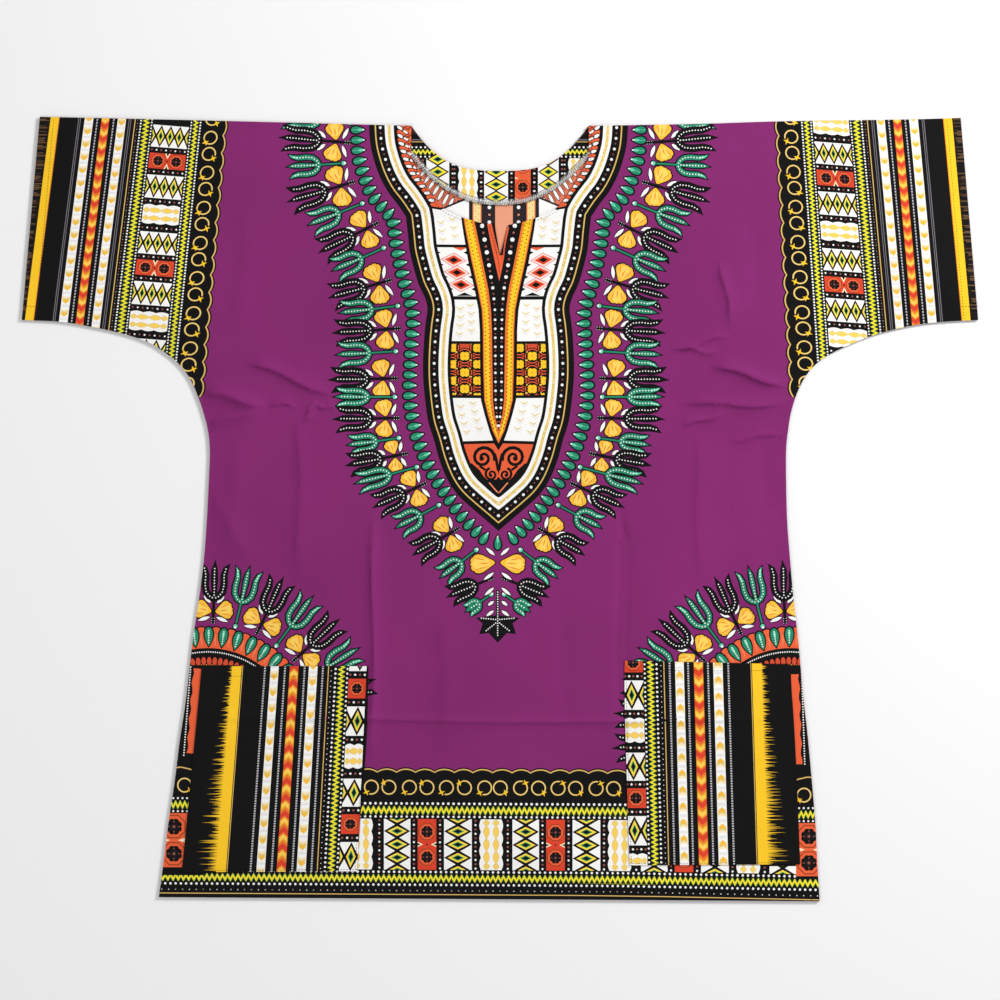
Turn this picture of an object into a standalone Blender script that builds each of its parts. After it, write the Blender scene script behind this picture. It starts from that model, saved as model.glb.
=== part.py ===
"""A dashiki: a loose pullover shirt of printed cotton, lying flat and face up.

The front and the back are each cut in one piece with their wide kimono sleeves, and are sewn to each
other along the shoulders, under the sleeves and down the sides. A crescent of facing finishes the back
of the neck on the inside, and two square patch pockets lie low on the front.

Metres, +Z up. +X runs to the right of the shirt as it is seen from above, and +Y from the hem to the
neck. The origin is at the centre of the shirt's box, on the surface that it lies on.
Sizes at the top are in millimetres. `reach` is measured from the middle line out towards either side,
and `up` from the lowest point of the hem towards the neck.
"""

import math

import bpy
from mathutils import Vector
from mathutils.geometry import delaunay_2d_cdt, intersect_point_line

MM = 0.001

# Driving sizes
LENGTH = 784.0  # hem to shoulder
WALL = 1.0  # thickness of every cloth wall
SEAM_GAP = 0.3  # clear space between two layers where they are sewn together
MERGE = 1e-4  # corners of the cutting lines nearer than this are one

# The edge of the front and of the back, from the corner of the hem up the side seam, round the
# underarm, out along the sleeve, up the cuff and in along the shoulder to the neck.
#             reach    up
LEFT_EDGE = ((341.0, 4.0), (336.0, 41.0), (331.0, 81.0), (325.0, 121.0), (320.0, 161.0),
             (314.0, 201.0), (307.0, 261.0), (301.0, 301.0), (296.0, 341.0), (293.0, 381.0),
             (291.0, 421.0), (290.0, 451.0), (292.0, 471.0), (296.0, 487.0), (301.0, 502.0),
             (309.0, 521.0), (320.0, 536.0), (333.0, 547.0), (350.0, 558.0), (376.0, 567.0),
             (408.0, 574.0), (438.0, 579.0), (478.0, 581.0),
             (460.0, 784.0), (410.0, 783.0), (300.0, 780.5), (200.0, 778.0), (88.5, 775.0))
RIGHT_EDGE = ((319.5, 0.0), (317.0, 41.0), (315.0, 81.0), (311.5, 121.0), (308.0, 161.0),
              (303.5, 201.0), (298.0, 261.0), (293.5, 301.0), (290.0, 341.0), (287.0, 381.0),
              (286.0, 421.0), (286.0, 451.0), (288.0, 471.0), (291.0, 489.0), (297.0, 508.0),
              (305.0, 524.0), (316.0, 537.0), (330.0, 547.0), (351.0, 557.0), (377.0, 567.0),
              (410.0, 575.0), (440.0, 579.0), (478.0, 581.0),
              (460.5, 783.0), (410.0, 781.5), (280.0, 779.5), (200.0, 777.0), (88.5, 775.0))

# The neck
NECK_HALF_WIDTH = 88.5
SHOULDER_UP = 775.0  # where the shoulders meet the neck
BACK_NECK_DEPTH = 45.0
BACK_NECK_POWER = 3.0  # a larger power gives the curve a flatter bottom and steeper sides
NECK_STEPS = 16
#                reach    up
FRONT_NECK = ((88.5, 745.0), (83.0, 731.0), (71.0, 711.0), (58.0, 694.0), (43.0, 685.5),
              (28.0, 680.5), (17.0, 677.5))
# The short V cut into the front of the neckline, from left to right
#           x      up
NOTCH = ((-5.5, 677.0), (0.0, 645.0), (8.5, 676.0))

# The back neck facing: its lower edge is a shallower, wider curve than the neckline above it
FACING_DEPTH = 79.0
FACING_CURVE_REACH = 110.0
FACING_CURVE_POWER = 2.3
FACING_TUCK = 5.0  # how far each end runs on beneath the front
FACING_END_UP = 768.0  # the ends stop short of the shoulder seams
FACING_RISE = 1.3  # how much the front is lifted to pass over the ends of the facing
FACING_RISE_REACH = 22.0

# The patch pockets: corners counterclockwise round each pocket
#                  x       up
LEFT_POCKET = ((-318.0, 29.0), (-143.0, 30.0), (-139.0, 91.0), (-133.5, 160.0), (-131.5, 235.0),
               (-298.0, 235.0))
RIGHT_POCKET = ((129.5, 36.0), (300.0, 37.0), (296.0, 136.0), (293.0, 190.0), (289.0, 237.0),
                (124.5, 240.5), (125.0, 181.0))

# How the front lies on the back: flat along its seams, and a little proud of the back inside them
LOFT = 1.6
LOFT_REACH = 45.0

# The largest folds and creases of the front. Each is a ridge along a straight line, highest in the
# middle of its length, with its own reach on the left and the right of the way that it runs.
#          x0     up0     x1     up1   height  left  right
FOLDS = ((-126.0, 400.0, -128.0, 128.0, 2.6, 7.0, 30.0),
         (121.0, 400.0, 122.5, 128.0, 2.6, 30.0, 7.0),
         (-126.0, 181.0, 121.0, 179.0, 1.8, 14.0, 6.0),
         (-284.0, 509.0, -236.0, 497.0, 3.2, 16.0, 14.0),
         (-286.0, 470.0, -200.0, 498.0, 2.4, 12.0, 16.0),
         (-268.0, 541.0, -163.0, 502.0, 2.6, 12.0, 18.0),
         (-236.0, 497.0, -150.0, 494.0, 1.4, 12.0, 14.0),
         (284.0, 513.0, 208.0, 541.0, 2.8, 16.0, 12.0),
         (270.0, 493.0, 150.0, 500.0, 2.2, 14.0, 12.0),
         (232.0, 490.0, 150.0, 466.0, 2.4, 16.0, 12.0),
         (176.0, 552.0, 244.0, 570.0, 1.8, 14.0, 12.0),
         (-199.0, 490.0, -204.0, 300.0, 1.3, 16.0, 20.0),
         (198.0, 470.0, 198.0, 300.0, 1.4, 20.0, 16.0),
         (-58.0, 300.0, -52.0, 140.0, 1.2, 18.0, 20.0),
         (226.0, 640.0, 232.0, 574.0, 1.5, 14.0, 16.0))

# How finely each panel is divided
FRONT_PITCH = 19.0
BACK_PITCH = 52.0
CLEAR_OF_LINES = 7.0  # no point of the grid is nearer than this to a cutting line or a fold

# name             colour                roughness
MATERIALS = {
    "printed_cotton": ((0.24, 0.035, 0.17), 0.82),
    "printed_cotton_back": ((0.20, 0.03, 0.15), 0.84),
    "border_print": ((0.75, 0.50, 0.08), 0.80),
    "facing_print": ((0.80, 0.66, 0.20), 0.80),
}


def clear_scene():
    for thing in list(bpy.data.objects):
        bpy.data.objects.remove(thing, do_unlink=True)


def material(name):
    colour, roughness = MATERIALS[name]
    made = bpy.data.materials.new(name)
    made.use_nodes = True
    shader = made.node_tree.nodes["Principled BSDF"]
    shader.inputs["Base Color"].default_value = (*colour, 1.0)
    shader.inputs["Roughness"].default_value = roughness
    shader.inputs["Metallic"].default_value = 0.0
    made.diffuse_color = (*colour, 1.0)
    return made


def bowl(depth, half_width, power, x):
    """How far below the shoulders a neck curve is at x."""
    return depth * (1.0 - (abs(x) / half_width) ** power)


def back_neckline():
    """Points of the back's neckline from the left shoulder to the right, without its two ends."""
    points = []
    for step in range(1, NECK_STEPS):
        x = -NECK_HALF_WIDTH * math.cos(math.pi * step / NECK_STEPS)
        points.append((x, SHOULDER_UP - bowl(BACK_NECK_DEPTH, NECK_HALF_WIDTH, BACK_NECK_POWER, x)))
    return points


def front_neckline():
    """Points of the front's neckline with its notch, from left to right, without its two ends."""
    left = [(-reach, up) for reach, up in FRONT_NECK]
    right = [(reach, up) for reach, up in reversed(FRONT_NECK)]
    return left + list(NOTCH) + right


def panel_outline(neckline):
    """The whole edge of a body panel, counterclockwise from the right end of the hem."""
    right = [(reach, up) for reach, up in RIGHT_EDGE]
    left = [(-reach, up) for reach, up in reversed(LEFT_EDGE)]
    return right + list(reversed(neckline)) + left


def facing_outline():
    """The crescent between the neckline and the facing's own lower edge, counterclockwise.

    Its two ends lie beneath the front.
    """
    end = NECK_HALF_WIDTH + FACING_TUCK
    upper = [point for point in back_neckline() if point[1] < FACING_END_UP]
    lower = []
    for step in range(NECK_STEPS + 1):
        x = -end * math.cos(math.pi * step / NECK_STEPS)
        lower.append((x, SHOULDER_UP - bowl(FACING_DEPTH, FACING_CURVE_REACH, FACING_CURVE_POWER, x)))
    return lower + [(end, FACING_END_UP)] + list(reversed(upper)) + [(-end, FACING_END_UP)]


def inside(point, outline):
    """Whether a point is within a closed outline, by counting the edges that it looks across."""
    x, up = point
    crossings = 0
    for (x0, up0), (x1, up1) in zip(outline, outline[1:] + outline[:1]):
        if (up0 > up) != (up1 > up) and x < x0 + (up - up0) * (x1 - x0) / (up1 - up0):
            crossings += 1
    return crossings % 2 == 1


def distance_to_line(point, start, end):
    near, along = intersect_point_line(Vector(point), Vector(start), Vector(end))
    if along < 0.0:
        near = Vector(start)
    elif along > 1.0:
        near = Vector(end)
    return (Vector(point) - Vector(near[:2])).length


def distance_to_outline(point, outline):
    return min(distance_to_line(point, a, b) for a, b in zip(outline, outline[1:] + outline[:1]))


def smooth(share):
    share = min(max(share, 0.0), 1.0)
    return share * share * (3.0 - 2.0 * share)


def fold_height(point, fold):
    """How far one fold lifts the cloth at a point."""
    x0, up0, x1, up1, height, left, right = fold
    start, end = Vector((x0, up0)), Vector((x1, up1))
    way = end - start
    along = (Vector(point) - start).dot(way) / way.length_squared
    if not 0.0 < along < 1.0:
        return 0.0
    aside = way.normalized().cross(Vector(point) - start)
    reach = left if aside > 0.0 else right
    slope = max(0.0, 1.0 - abs(aside) / reach)
    return height * slope * math.sin(math.pi * along) ** 0.6


def front_underside(point, outline):
    """Height of the front's underside over the surface that the shirt lies on."""
    edge = smooth(distance_to_outline(point, outline) / LOFT_REACH)
    folds = sum(fold_height(point, fold) for fold in FOLDS)
    x, up = point
    past_facing = max(abs(x) - NECK_HALF_WIDTH - FACING_TUCK, 0.0)
    below_facing = max(SHOULDER_UP - FACING_DEPTH - up, 0.0)
    over_facing = 1.0 - smooth(math.hypot(past_facing, below_facing) / FACING_RISE_REACH)
    lift = max(LOFT * edge, FACING_RISE * over_facing)
    return WALL + SEAM_GAP + lift + folds * edge


def divide(outline, pitch, lines=(), patches=()):
    """Triangles of a flat panel: (points, faces, the faces inside each patch).

    The edge, the given lines and the patches' outlines are all edges of the triangles, and the rest of
    the panel is filled from a grid of the given pitch.
    """
    points = []
    edges = []
    loops = [list(outline)] + [list(patch) for patch in patches]
    faces = []
    for loop in loops:
        first = len(points)
        points += loop
        faces.append(list(range(first, first + len(loop))))
    for start, end in lines:
        edges.append((len(points), len(points) + 1))
        points += [start, end]
    closed = [(a, b) for loop in loops for a, b in zip(loop, loop[1:] + loop[:1])]
    barriers = closed + list(lines)
    xs = [x for x, _ in outline]
    ups = [up for _, up in outline]
    for row in range(math.ceil((max(ups) - min(ups)) / pitch) + 1):
        for column in range(math.ceil((max(xs) - min(xs)) / pitch) + 1):
            stagger = 0.5 * pitch * (row % 2)
            point = (min(xs) + column * pitch + stagger, min(ups) + row * pitch)
            if not inside(point, loops[0]):
                continue
            if min(distance_to_line(point, a, b) for a, b in barriers) > CLEAR_OF_LINES:
                points.append(point)
    made = delaunay_2d_cdt([Vector(p) for p in points], edges, faces, 1, MERGE, True)
    corners, _, triangles, _, _, sources = made
    kept = [(face, source) for face, source in zip(triangles, sources) if 0 in source]
    whole = [face for face, _ in kept]
    parts = [[face for face, source in kept if n + 1 in source] for n in range(len(patches))]
    return [tuple(corner) for corner in corners], whole, parts


def cloth(name, corners, faces, underside, material_name):
    """A closed wall of cloth: the faces twice, WALL apart, joined round their open edges."""
    used = sorted({index for face in faces for index in face})
    lower = {index: n for n, index in enumerate(used)}
    upper = {index: n + len(used) for n, index in enumerate(used)}
    points = []
    for rise in (0.0, WALL):
        for index in used:
            x, up = corners[index]
            height = underside((x, up)) + rise
            points.append((x * MM, (up - LENGTH / 2) * MM, height * MM))
    shell = [[upper[index] for index in face] for face in faces]
    shell += [[lower[index] for index in reversed(face)] for face in faces]
    sides = {(a, b) for face in faces for a, b in zip(face, face[1:] + face[:1])}
    for a, b in sides:
        if (b, a) not in sides:
            shell.append([lower[a], lower[b], upper[b], upper[a]])
    mesh = bpy.data.meshes.new(name)
    mesh.from_pydata(points, [], shell)
    mesh.materials.append(material(material_name))
    mesh.shade_smooth()
    mesh.set_sharp_from_angle(angle=math.radians(50))
    made = bpy.data.objects.new(name, mesh)
    bpy.context.scene.collection.objects.link(made)
    return made


def build_back():
    corners, faces, _ = divide(panel_outline(back_neckline()), BACK_PITCH)
    cloth("back_panel", corners, faces, lambda point: 0.0, "printed_cotton_back")


def build_facing():
    corners, faces, _ = divide(facing_outline(), BACK_PITCH)
    cloth("back_neck_facing", corners, faces, lambda point: WALL + SEAM_GAP, "facing_print")


def build_front_and_pockets():
    """The front, and the pockets made from the front's own points, moved out."""
    outline = panel_outline(front_neckline())
    ridges = [((x0, up0), (x1, up1)) for x0, up0, x1, up1, *_ in FOLDS]
    corners, faces, patches = divide(outline, FRONT_PITCH, ridges, (LEFT_POCKET, RIGHT_POCKET))
    heights = {corner: front_underside(corner, outline) for corner in corners}
    cloth("front_panel", corners, faces, heights.get, "printed_cotton")
    for name, patch in zip(("pocket_left", "pocket_right"), patches):
        cloth(name, corners, patch, lambda point: heights[point] + WALL + SEAM_GAP, "border_print")


clear_scene()
build_back()
build_facing()
build_front_and_pockets()
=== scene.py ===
"""Looks of the dashiki: the printed cotton of each panel, its creases, stitches and serging.

The print is drawn here with small functions, as flat shapes painted one over another, and is cut into the
cloth: every shape's edge is an edge of the mesh, and each face carries its colour in the attribute
"print". Drawing is in garment millimetres: x from the middle line, `up` from the lowest point of the hem.
"""

import math
import random

import bpy
import numpy as np
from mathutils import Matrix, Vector
from mathutils.geometry import delaunay_2d_cdt


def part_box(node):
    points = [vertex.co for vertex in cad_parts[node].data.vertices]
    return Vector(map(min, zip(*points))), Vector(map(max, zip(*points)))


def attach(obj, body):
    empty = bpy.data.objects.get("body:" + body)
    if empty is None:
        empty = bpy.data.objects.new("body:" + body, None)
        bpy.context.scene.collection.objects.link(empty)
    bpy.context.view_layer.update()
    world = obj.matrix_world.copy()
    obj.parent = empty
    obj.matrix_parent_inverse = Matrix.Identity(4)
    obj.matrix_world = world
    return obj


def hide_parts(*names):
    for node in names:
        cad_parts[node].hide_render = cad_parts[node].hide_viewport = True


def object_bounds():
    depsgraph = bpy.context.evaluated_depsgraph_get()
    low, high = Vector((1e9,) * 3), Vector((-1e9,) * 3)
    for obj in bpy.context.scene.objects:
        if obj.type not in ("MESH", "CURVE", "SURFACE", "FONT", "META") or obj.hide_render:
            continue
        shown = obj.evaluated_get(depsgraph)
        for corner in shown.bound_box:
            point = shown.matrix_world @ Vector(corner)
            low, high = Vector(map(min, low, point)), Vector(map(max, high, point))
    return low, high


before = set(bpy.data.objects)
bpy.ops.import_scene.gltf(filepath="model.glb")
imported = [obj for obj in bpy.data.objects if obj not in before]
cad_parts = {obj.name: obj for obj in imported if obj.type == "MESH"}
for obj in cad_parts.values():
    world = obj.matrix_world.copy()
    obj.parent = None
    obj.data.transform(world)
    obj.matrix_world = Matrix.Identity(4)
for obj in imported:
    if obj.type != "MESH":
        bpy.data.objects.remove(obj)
CAD_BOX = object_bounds()

MM = 0.001
HEM_Y = CAD_BOX[0].y / MM  # the height 0 of the drawing, in the frame's millimetres

# ---------------------------------------------------------------- inks, as displayed (sRGB)
INKS = {
    "purple": (131, 38, 108), "purple_wrong": (150, 84, 134), "black": (9, 8, 9), "soot": (26, 18, 20),
    "brown": (84, 58, 34), "bark": (112, 84, 52), "thread": (226, 226, 224),
    "thread_grey": (150, 149, 152), "white": (250, 249, 246), "shade": (236, 232, 231),
    "gold": (226, 186, 104), "ring": (243, 206, 120), "yellow": (255, 203, 40), "lemon": (246, 230, 46),
    "straw": (233, 206, 130), "cream": (252, 232, 190), "orange": (240, 120, 48), "petal": (252, 190, 58),
    "petal_light": (255, 212, 96), "petal_dark": (236, 138, 42), "red": (224, 68, 42),
    "coral": (236, 98, 58), "coral_light": (244, 138, 96), "pink": (240, 150, 150),
    "tongue": (214, 78, 48), "green": (36, 138, 104), "mint": (104, 204, 170), "deep": (18, 84, 62),
    "grey": (122, 117, 124), "silver": (196, 193, 200), "dim": (150, 84, 74), "rust": (150, 62, 26),
    "salmon": (238, 160, 128), "pale_coral": (236, 128, 98), "pale_yellow": (250, 222, 150),
    "pale_black": (44, 36, 38),
}


def linear(rgb):
    """A displayed colour as the shader wants it, with its alpha."""
    return tuple((c / 12.92 if c <= 0.04045 else ((c + 0.055) / 1.055) ** 2.4)
                 for c in (v / 255 for v in rgb)) + (1,)


# ---------------------------------------------------------------- drawing
# Half outlines of small shapes: (share of the length, share of the half width)
LEAF = ((0, 0), (0.03, 0.42), (0.14, 0.82), (0.34, 1), (0.56, 0.9), (0.76, 0.58), (0.9, 0.27), (1, 0))
REVERSED_LEAF = tuple((1 - t, w) for t, w in reversed(LEAF))
SLIVER = ((0, 0), (0.2, 0.65), (0.45, 1), (0.75, 0.7), (1, 0))
FAN = ((0, 0), (0.06, 0.2), (0.28, 0.56), (0.5, 0.9), (0.66, 1), (0.8, 0.92), (0.85, 0.74),
       (0.94, 0.62), (0.98, 0.34), (0.95, 0.2), (1, 0))
DIAMOND = ((0, 0), (0.5, 1), (1, 0))
ROUND = ((0, 0), (0.07, 0.5), (0.25, 0.87), (0.5, 1), (0.75, 0.87), (0.93, 0.5), (1, 0))
SMALLEST = 0.02  # shapes of less than half this area are left out, in square millimetres


class Pen:
    """Draws shapes in its own coordinates u and v, which `place` turns into places on the cloth."""

    def __init__(self, shapes, place=lambda u, v: (u, v)):
        self.shapes = shapes
        self.place = place

    def at(self, origin, towards, flip=1):
        """A pen whose u runs from origin towards a point, and whose v runs to the left of that."""
        (u0, v0), (u1, v1) = origin, towards
        size = math.hypot(u1 - u0, v1 - v0)
        cos, sin = (u1 - u0) / size, (v1 - v0) / size
        return Pen(self.shapes, lambda u, v: self.place(u0 + cos * u - sin * v * flip,
                                                        v0 + sin * u + cos * v * flip))

    def fill(self, ink, points):
        made = [self.place(u, v) for u, v in points]
        area = sum(x0 * y1 - x1 * y0 for (x0, y0), (x1, y1) in zip(made, made[1:] + made[:1]))
        if abs(area) > SMALLEST:
            self.shapes.append((ink, made if area > 0 else made[::-1]))

    def box(self, ink, u0, u1, v0, v1, steps=1):
        vs = [v0 + (v1 - v0) * n / steps for n in range(steps + 1)]
        self.fill(ink, [(u0, v) for v in vs] + [(u1, v) for v in reversed(vs)])

    def disc(self, ink, u, v, radius, sides=8, turn=0):
        angles = [math.tau * (n + turn) / sides for n in range(sides)]
        self.fill(ink, [(u + radius * math.cos(a), v + radius * math.sin(a)) for a in angles])

    def blade(self, ink, start, end, width, outline=LEAF, aside=0):
        """A shape along the u axis between two places on it."""
        side = [(start + (end - start) * t, width / 2 * w) for t, w in outline]
        self.fill(ink, [(u, aside + v) for u, v in side] + [(u, aside - v) for u, v in reversed(side[1:-1])])

    def stroke(self, ink, points, widths, close=False):
        """A line of one width, or of a width given for each point, as a row of quads."""
        count = len(points)
        if not hasattr(widths, "__len__"):
            widths = [widths] * count
        edges = []
        for n, (u, v) in enumerate(points):
            before = points[n - 1] if n or close else points[n]
            after = points[(n + 1) % count] if n < count - 1 or close else points[n]
            du, dv = after[0] - before[0], after[1] - before[1]
            size = math.hypot(du, dv) or 1
            du, dv = du / size * widths[n] / 2, dv / size * widths[n] / 2
            edges.append(((u - dv, v + du), (u + dv, v - du)))
        pairs = list(zip(edges, edges[1:] + (edges[:1] if close else [])))
        for (a, b), (c, d) in pairs:
            self.fill(ink, [a, c, d, b])

    def dots(self, ink, u, start, stop, pitch, radius, sides=6, skip=None):
        """A row of dots along v. `skip` names another ink for every second one."""
        count = int(abs(stop - start) / pitch)
        step = math.copysign(pitch, stop - start)
        for n in range(count + 1):
            odd = skip is not None and n % 2
            self.disc(skip if odd else ink, u, start + n * step, radius * (0.7 if odd else 1), sides, 0.5)


def mirrored(side, middle):
    """The closed outline of a shape from one of its two equal sides, given as (u, distance from middle)."""
    return [(u, middle + v) for u, v in side] + [(u, middle - v) for u, v in reversed(side)]


def along(path, pitch, start=0):
    """Places every `pitch` along a path, with the way that it runs there: (u, v, du, dv)."""
    found = []
    want = start
    for (u0, v0), (u1, v1) in zip(path, path[1:]):
        size = math.hypot(u1 - u0, v1 - v0)
        while want <= size and size > 0:
            share = want / size
            found.append((u0 + (u1 - u0) * share, v0 + (v1 - v0) * share, (u1 - u0) / size, (v1 - v0) / size))
            want += pitch
        want -= size
    return found


def curve(points, pitch, close=False, sharpest=40):
    """A smooth path through points, about `pitch` apart. Turns sharper than `sharpest` stay corners."""
    count = len(points)

    def turn(n):
        a, b, c = points[n - 1], points[n], points[(n + 1) % count]
        before = math.atan2(b[1] - a[1], b[0] - a[0])
        after = math.atan2(c[1] - b[1], c[0] - b[0])
        return abs((after - before + math.pi) % math.tau - math.pi)

    corner = [(not close and n in (0, count - 1)) or turn(n) > math.radians(sharpest) for n in range(count)]
    made = []
    for n in range(count if close else count - 1):
        p1, p2 = points[n], points[(n + 1) % count]
        p0 = p1 if corner[n] else points[n - 1]
        p3 = p2 if corner[(n + 1) % count] else points[(n + 2) % count]
        steps = max(1, round(math.hypot(p2[0] - p1[0], p2[1] - p1[1]) / pitch))
        for step in range(steps):
            t = step / steps
            made.append(tuple(
                0.5 * (2 * b + (c - a) * t + (2 * a - 5 * b + 4 * c - d) * t * t
                       + (3 * b - a - 3 * c + d) * t ** 3)
                for a, b, c, d in zip(p0, p1, p2, p3)))
    return made if close else made + [tuple(points[-1])]


def row_at(table, n):
    """A row of a table read between its rows, by the number in the first column."""
    for low, high in zip(table, table[1:]):
        if n <= high[0] or high is table[-1]:
            share = (n - low[0]) / (high[0] - low[0])
            return [a + (b - a) * share for a, b in zip(low, high)]


# ---------------------------------------------------------------- the small repeats of the borders
def zigzag(pen, u0, u1, start, stop, pitch):
    """A lemon zigzag between dark teeth."""
    width = u1 - u0
    low, high = min(start, stop), max(start, stop)
    pen.box("lemon", u0, u1, low, high, 8)
    for n in range(int((high - low) / pitch) + 1):
        v = low + n * pitch
        for edge, way, shift in ((u0, 1, 0), (u1, -1, 0.5)):
            base = v + shift * pitch
            tip = edge + way * width * 0.56
            pen.fill("deep", [(edge, base), (tip, base + pitch / 2), (edge, base + pitch)])
            pen.fill("black", [(edge, base + pitch * 0.14), (edge + way * width * 0.34, base + pitch / 2),
                               (edge, base + pitch * 0.86)])


def drops(pen, u0, u1, start, stop, pitch):
    """A white stripe with a soft yellow drop in each repeat."""
    pen.box("white", u0, u1, start, stop, 8)
    step = math.copysign(pitch, stop - start)
    middle, half = (u0 + u1) / 2, (u1 - u0) / 2
    for n in range(int(abs(stop - start) / pitch) + 1):
        v = start + n * step
        pen.box("shade", middle - half * 0.8, middle + half * 0.8, v + step * 0.6, v + step * 0.78)
        for ink, reach, top, low in (("cream", 0.95, -0.08, 0.44), ("straw", 0.8, 0.06, 0.42),
                                     ("petal", 0.62, 0.16, 0.38)):
            r = half * reach
            pen.fill(ink, [(middle - r, v + step * top), (middle, v + step * (top + 0.08)),
                           (middle + r, v + step * top), (middle + r * 0.9, v + step * (low - 0.08)),
                           (middle, v + step * (low + 0.1)), (middle - r * 0.9, v + step * (low - 0.08))])


def arrows(pen, u0, u1, start, stop, pitch):
    """A red stripe with a row of yellow arrow heads that point from start to stop."""
    pen.box("red", u0, u1, start, stop, 8)
    step = math.copysign(pitch, stop - start)
    middle, half = (u0 + u1) / 2, (u1 - u0) / 2
    for n in range(int(abs(stop - start) / pitch) + 1):
        v = start + n * step
        for ink, size, top, low in (("orange", 1, 0.1, 0.76), ("petal_dark", 1, 0.22, 0.72),
                                    ("petal", 0.92, 0.34, 0.68), ("petal_light", 0.7, 0.5, 0.66)):
            reach, dip = half * size, 0.24 * size
            pen.fill(ink, [(middle - reach, v + step * top), (middle, v + step * (top + dip)),
                           (middle + reach, v + step * top), (middle + reach, v + step * low),
                           (middle, v + step * (low + dip)), (middle - reach, v + step * low)])


def line(pen, ink, u, start, stop, width, pitch=None):
    """A thin line along v, or a row of dashes if it has a pitch."""
    if pitch is None:
        pen.box(ink, u - width / 2, u + width / 2, start, stop, 8)
        return
    step = math.copysign(pitch, stop - start)
    for n in range(int(abs(stop - start) / pitch)):
        pen.box(ink, u - width / 2, u + width / 2, start + n * step, start + (n + 0.62) * step)


# Diamonds one inside another: (ink, share of the largest)
DIAMOND_SHARES = (("black", 1.2), ("petal_light", 0.74), ("lemon", 0.62), ("green", 0.44), ("black", 0.3))
WIDE_STRIPE = 26  # from this width a patch has its full number of motifs side by side


def diamonds(pen, u0, u1, v0, v1):
    """Yellow diamonds side by side across the stripe, in a lattice of black lines on white."""
    wide = u1 - u0 > WIDE_STRIPE
    pitch = (u1 - u0) / 3.85 if wide else 12.4
    middle = (u0 + u1) / 2 + (0 if wide else 2)
    centre, reach = (v0 + v1) / 2, (v1 - v0) / 2
    pen.box("white", u0, u1, v0, v1)
    for n in (-2, -1, 0, 1, 2):
        at = middle + n * pitch
        for ink, share in DIAMOND_SHARES:
            half, long = pitch / 2 * share, reach * min(share, 1)
            low, high = max(at - half, u0), min(at + half, u1)
            if high - low < 0.4:
                continue
            corners = [(u, long * (1 - abs(u - at) / half))
                       for u in sorted({low, min(max(at, low), high), high})]
            pen.fill(ink, mirrored(corners, centre))


def blossom(pen, u, v, size):
    """A dark eight-petalled flower in an eight-sided outline, `size` from its middle to its edge."""
    pen.disc("rust", u, v, size, 8, 0.5)
    pen.disc("coral", u, v, size * 0.9, 8, 0.5)
    for n in range(8):
        angle, reach = math.tau * (n + 0.5) / 8, size * 0.42
        pen.disc("black", u + reach * math.cos(angle), v + reach * math.sin(angle), size * 0.25, 7)
    pen.disc("soot", u, v, size * 0.36, 8)
    for n in range(4):
        angle = math.tau * n / 4
        pen.disc("dim", u + size * 0.4 * math.cos(angle), v + size * 0.4 * math.sin(angle), size * 0.07, 4)
    pen.disc("dim", u, v, size * 0.12, 6)


def flowers(pen, u0, u1, v0, v1):
    """A red patch with two dark flowers, pinched in cream between them."""
    pen.box("red", u0, u1, v0, v1)
    middle, centre = (u0 + u1) / 2, (v0 + v1) / 2
    size = min((u1 - u0) / 4, abs(v1 - v0) / 2) * 0.98
    if u1 - u0 < WIDE_STRIPE:
        blossom(pen, middle, centre, min(u1 - u0, abs(v1 - v0)) * 0.45)
        return
    for side in (-1, 1):
        blossom(pen, middle + side * (u1 - u0) / 4, centre, size)
        edge = centre + side * abs(v1 - v0) / 2
        pen.fill("cream", [(middle - 2.6, edge), (middle, edge - side * 5.4), (middle + 2.6, edge)])
        pen.fill("black", [(middle - 1.2, edge), (middle, edge - side * 3), (middle + 1.2, edge)])
    pen.disc("black", middle, centre, 1.1, 4)


def lozenges(pen, u0, u1, v0, v1):
    """A white patch with bulging sides and two rows of soft yellow lozenges."""
    centre, reach = (v0 + v1) / 2, abs(v1 - v0) / 2
    bulges = max(1, round((u1 - u0) / 11.5))
    pitch = (u1 - u0) / bulges
    rim = [(u0 + n * pitch / 4, reach * (0.86 + 0.14 * abs(math.sin(math.pi * n / 4))))
           for n in range(bulges * 4 + 1)]
    pen.fill("white", mirrored(rim, centre))
    for side in (-1, 1):
        v = centre + side * reach * 0.4
        row = pen.at((u0, v), (u1, v))
        row.box("cream", 0, u1 - u0, -reach * 0.13, reach * 0.13)
        for n in range(bulges + 1):
            start = max((n - 0.5) * pitch - 0.6, 0.4)
            end = min((n + 0.5) * pitch + 0.6, u1 - u0 - 0.4)
            row.blade("straw", start, end, reach * 0.58, SLIVER)
            row.blade("petal_light", start + pitch * 0.1, end - pitch * 0.1, reach * 0.46, SLIVER)


# The cells of a stripe, in repeats of 106.5 at scale 1: (drawn by, start, end)
CELLS = ((diamonds, 0, 22), (None, 24.9, 0), (flowers, 28, 43.4), (None, 46.5, 0),
         (diamonds, 49.8, 72.8), (None, 75.9, 0), (lozenges, 79, 98.8), (None, 102.6, 0))
CELLS_REPEAT = 106.5


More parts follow.
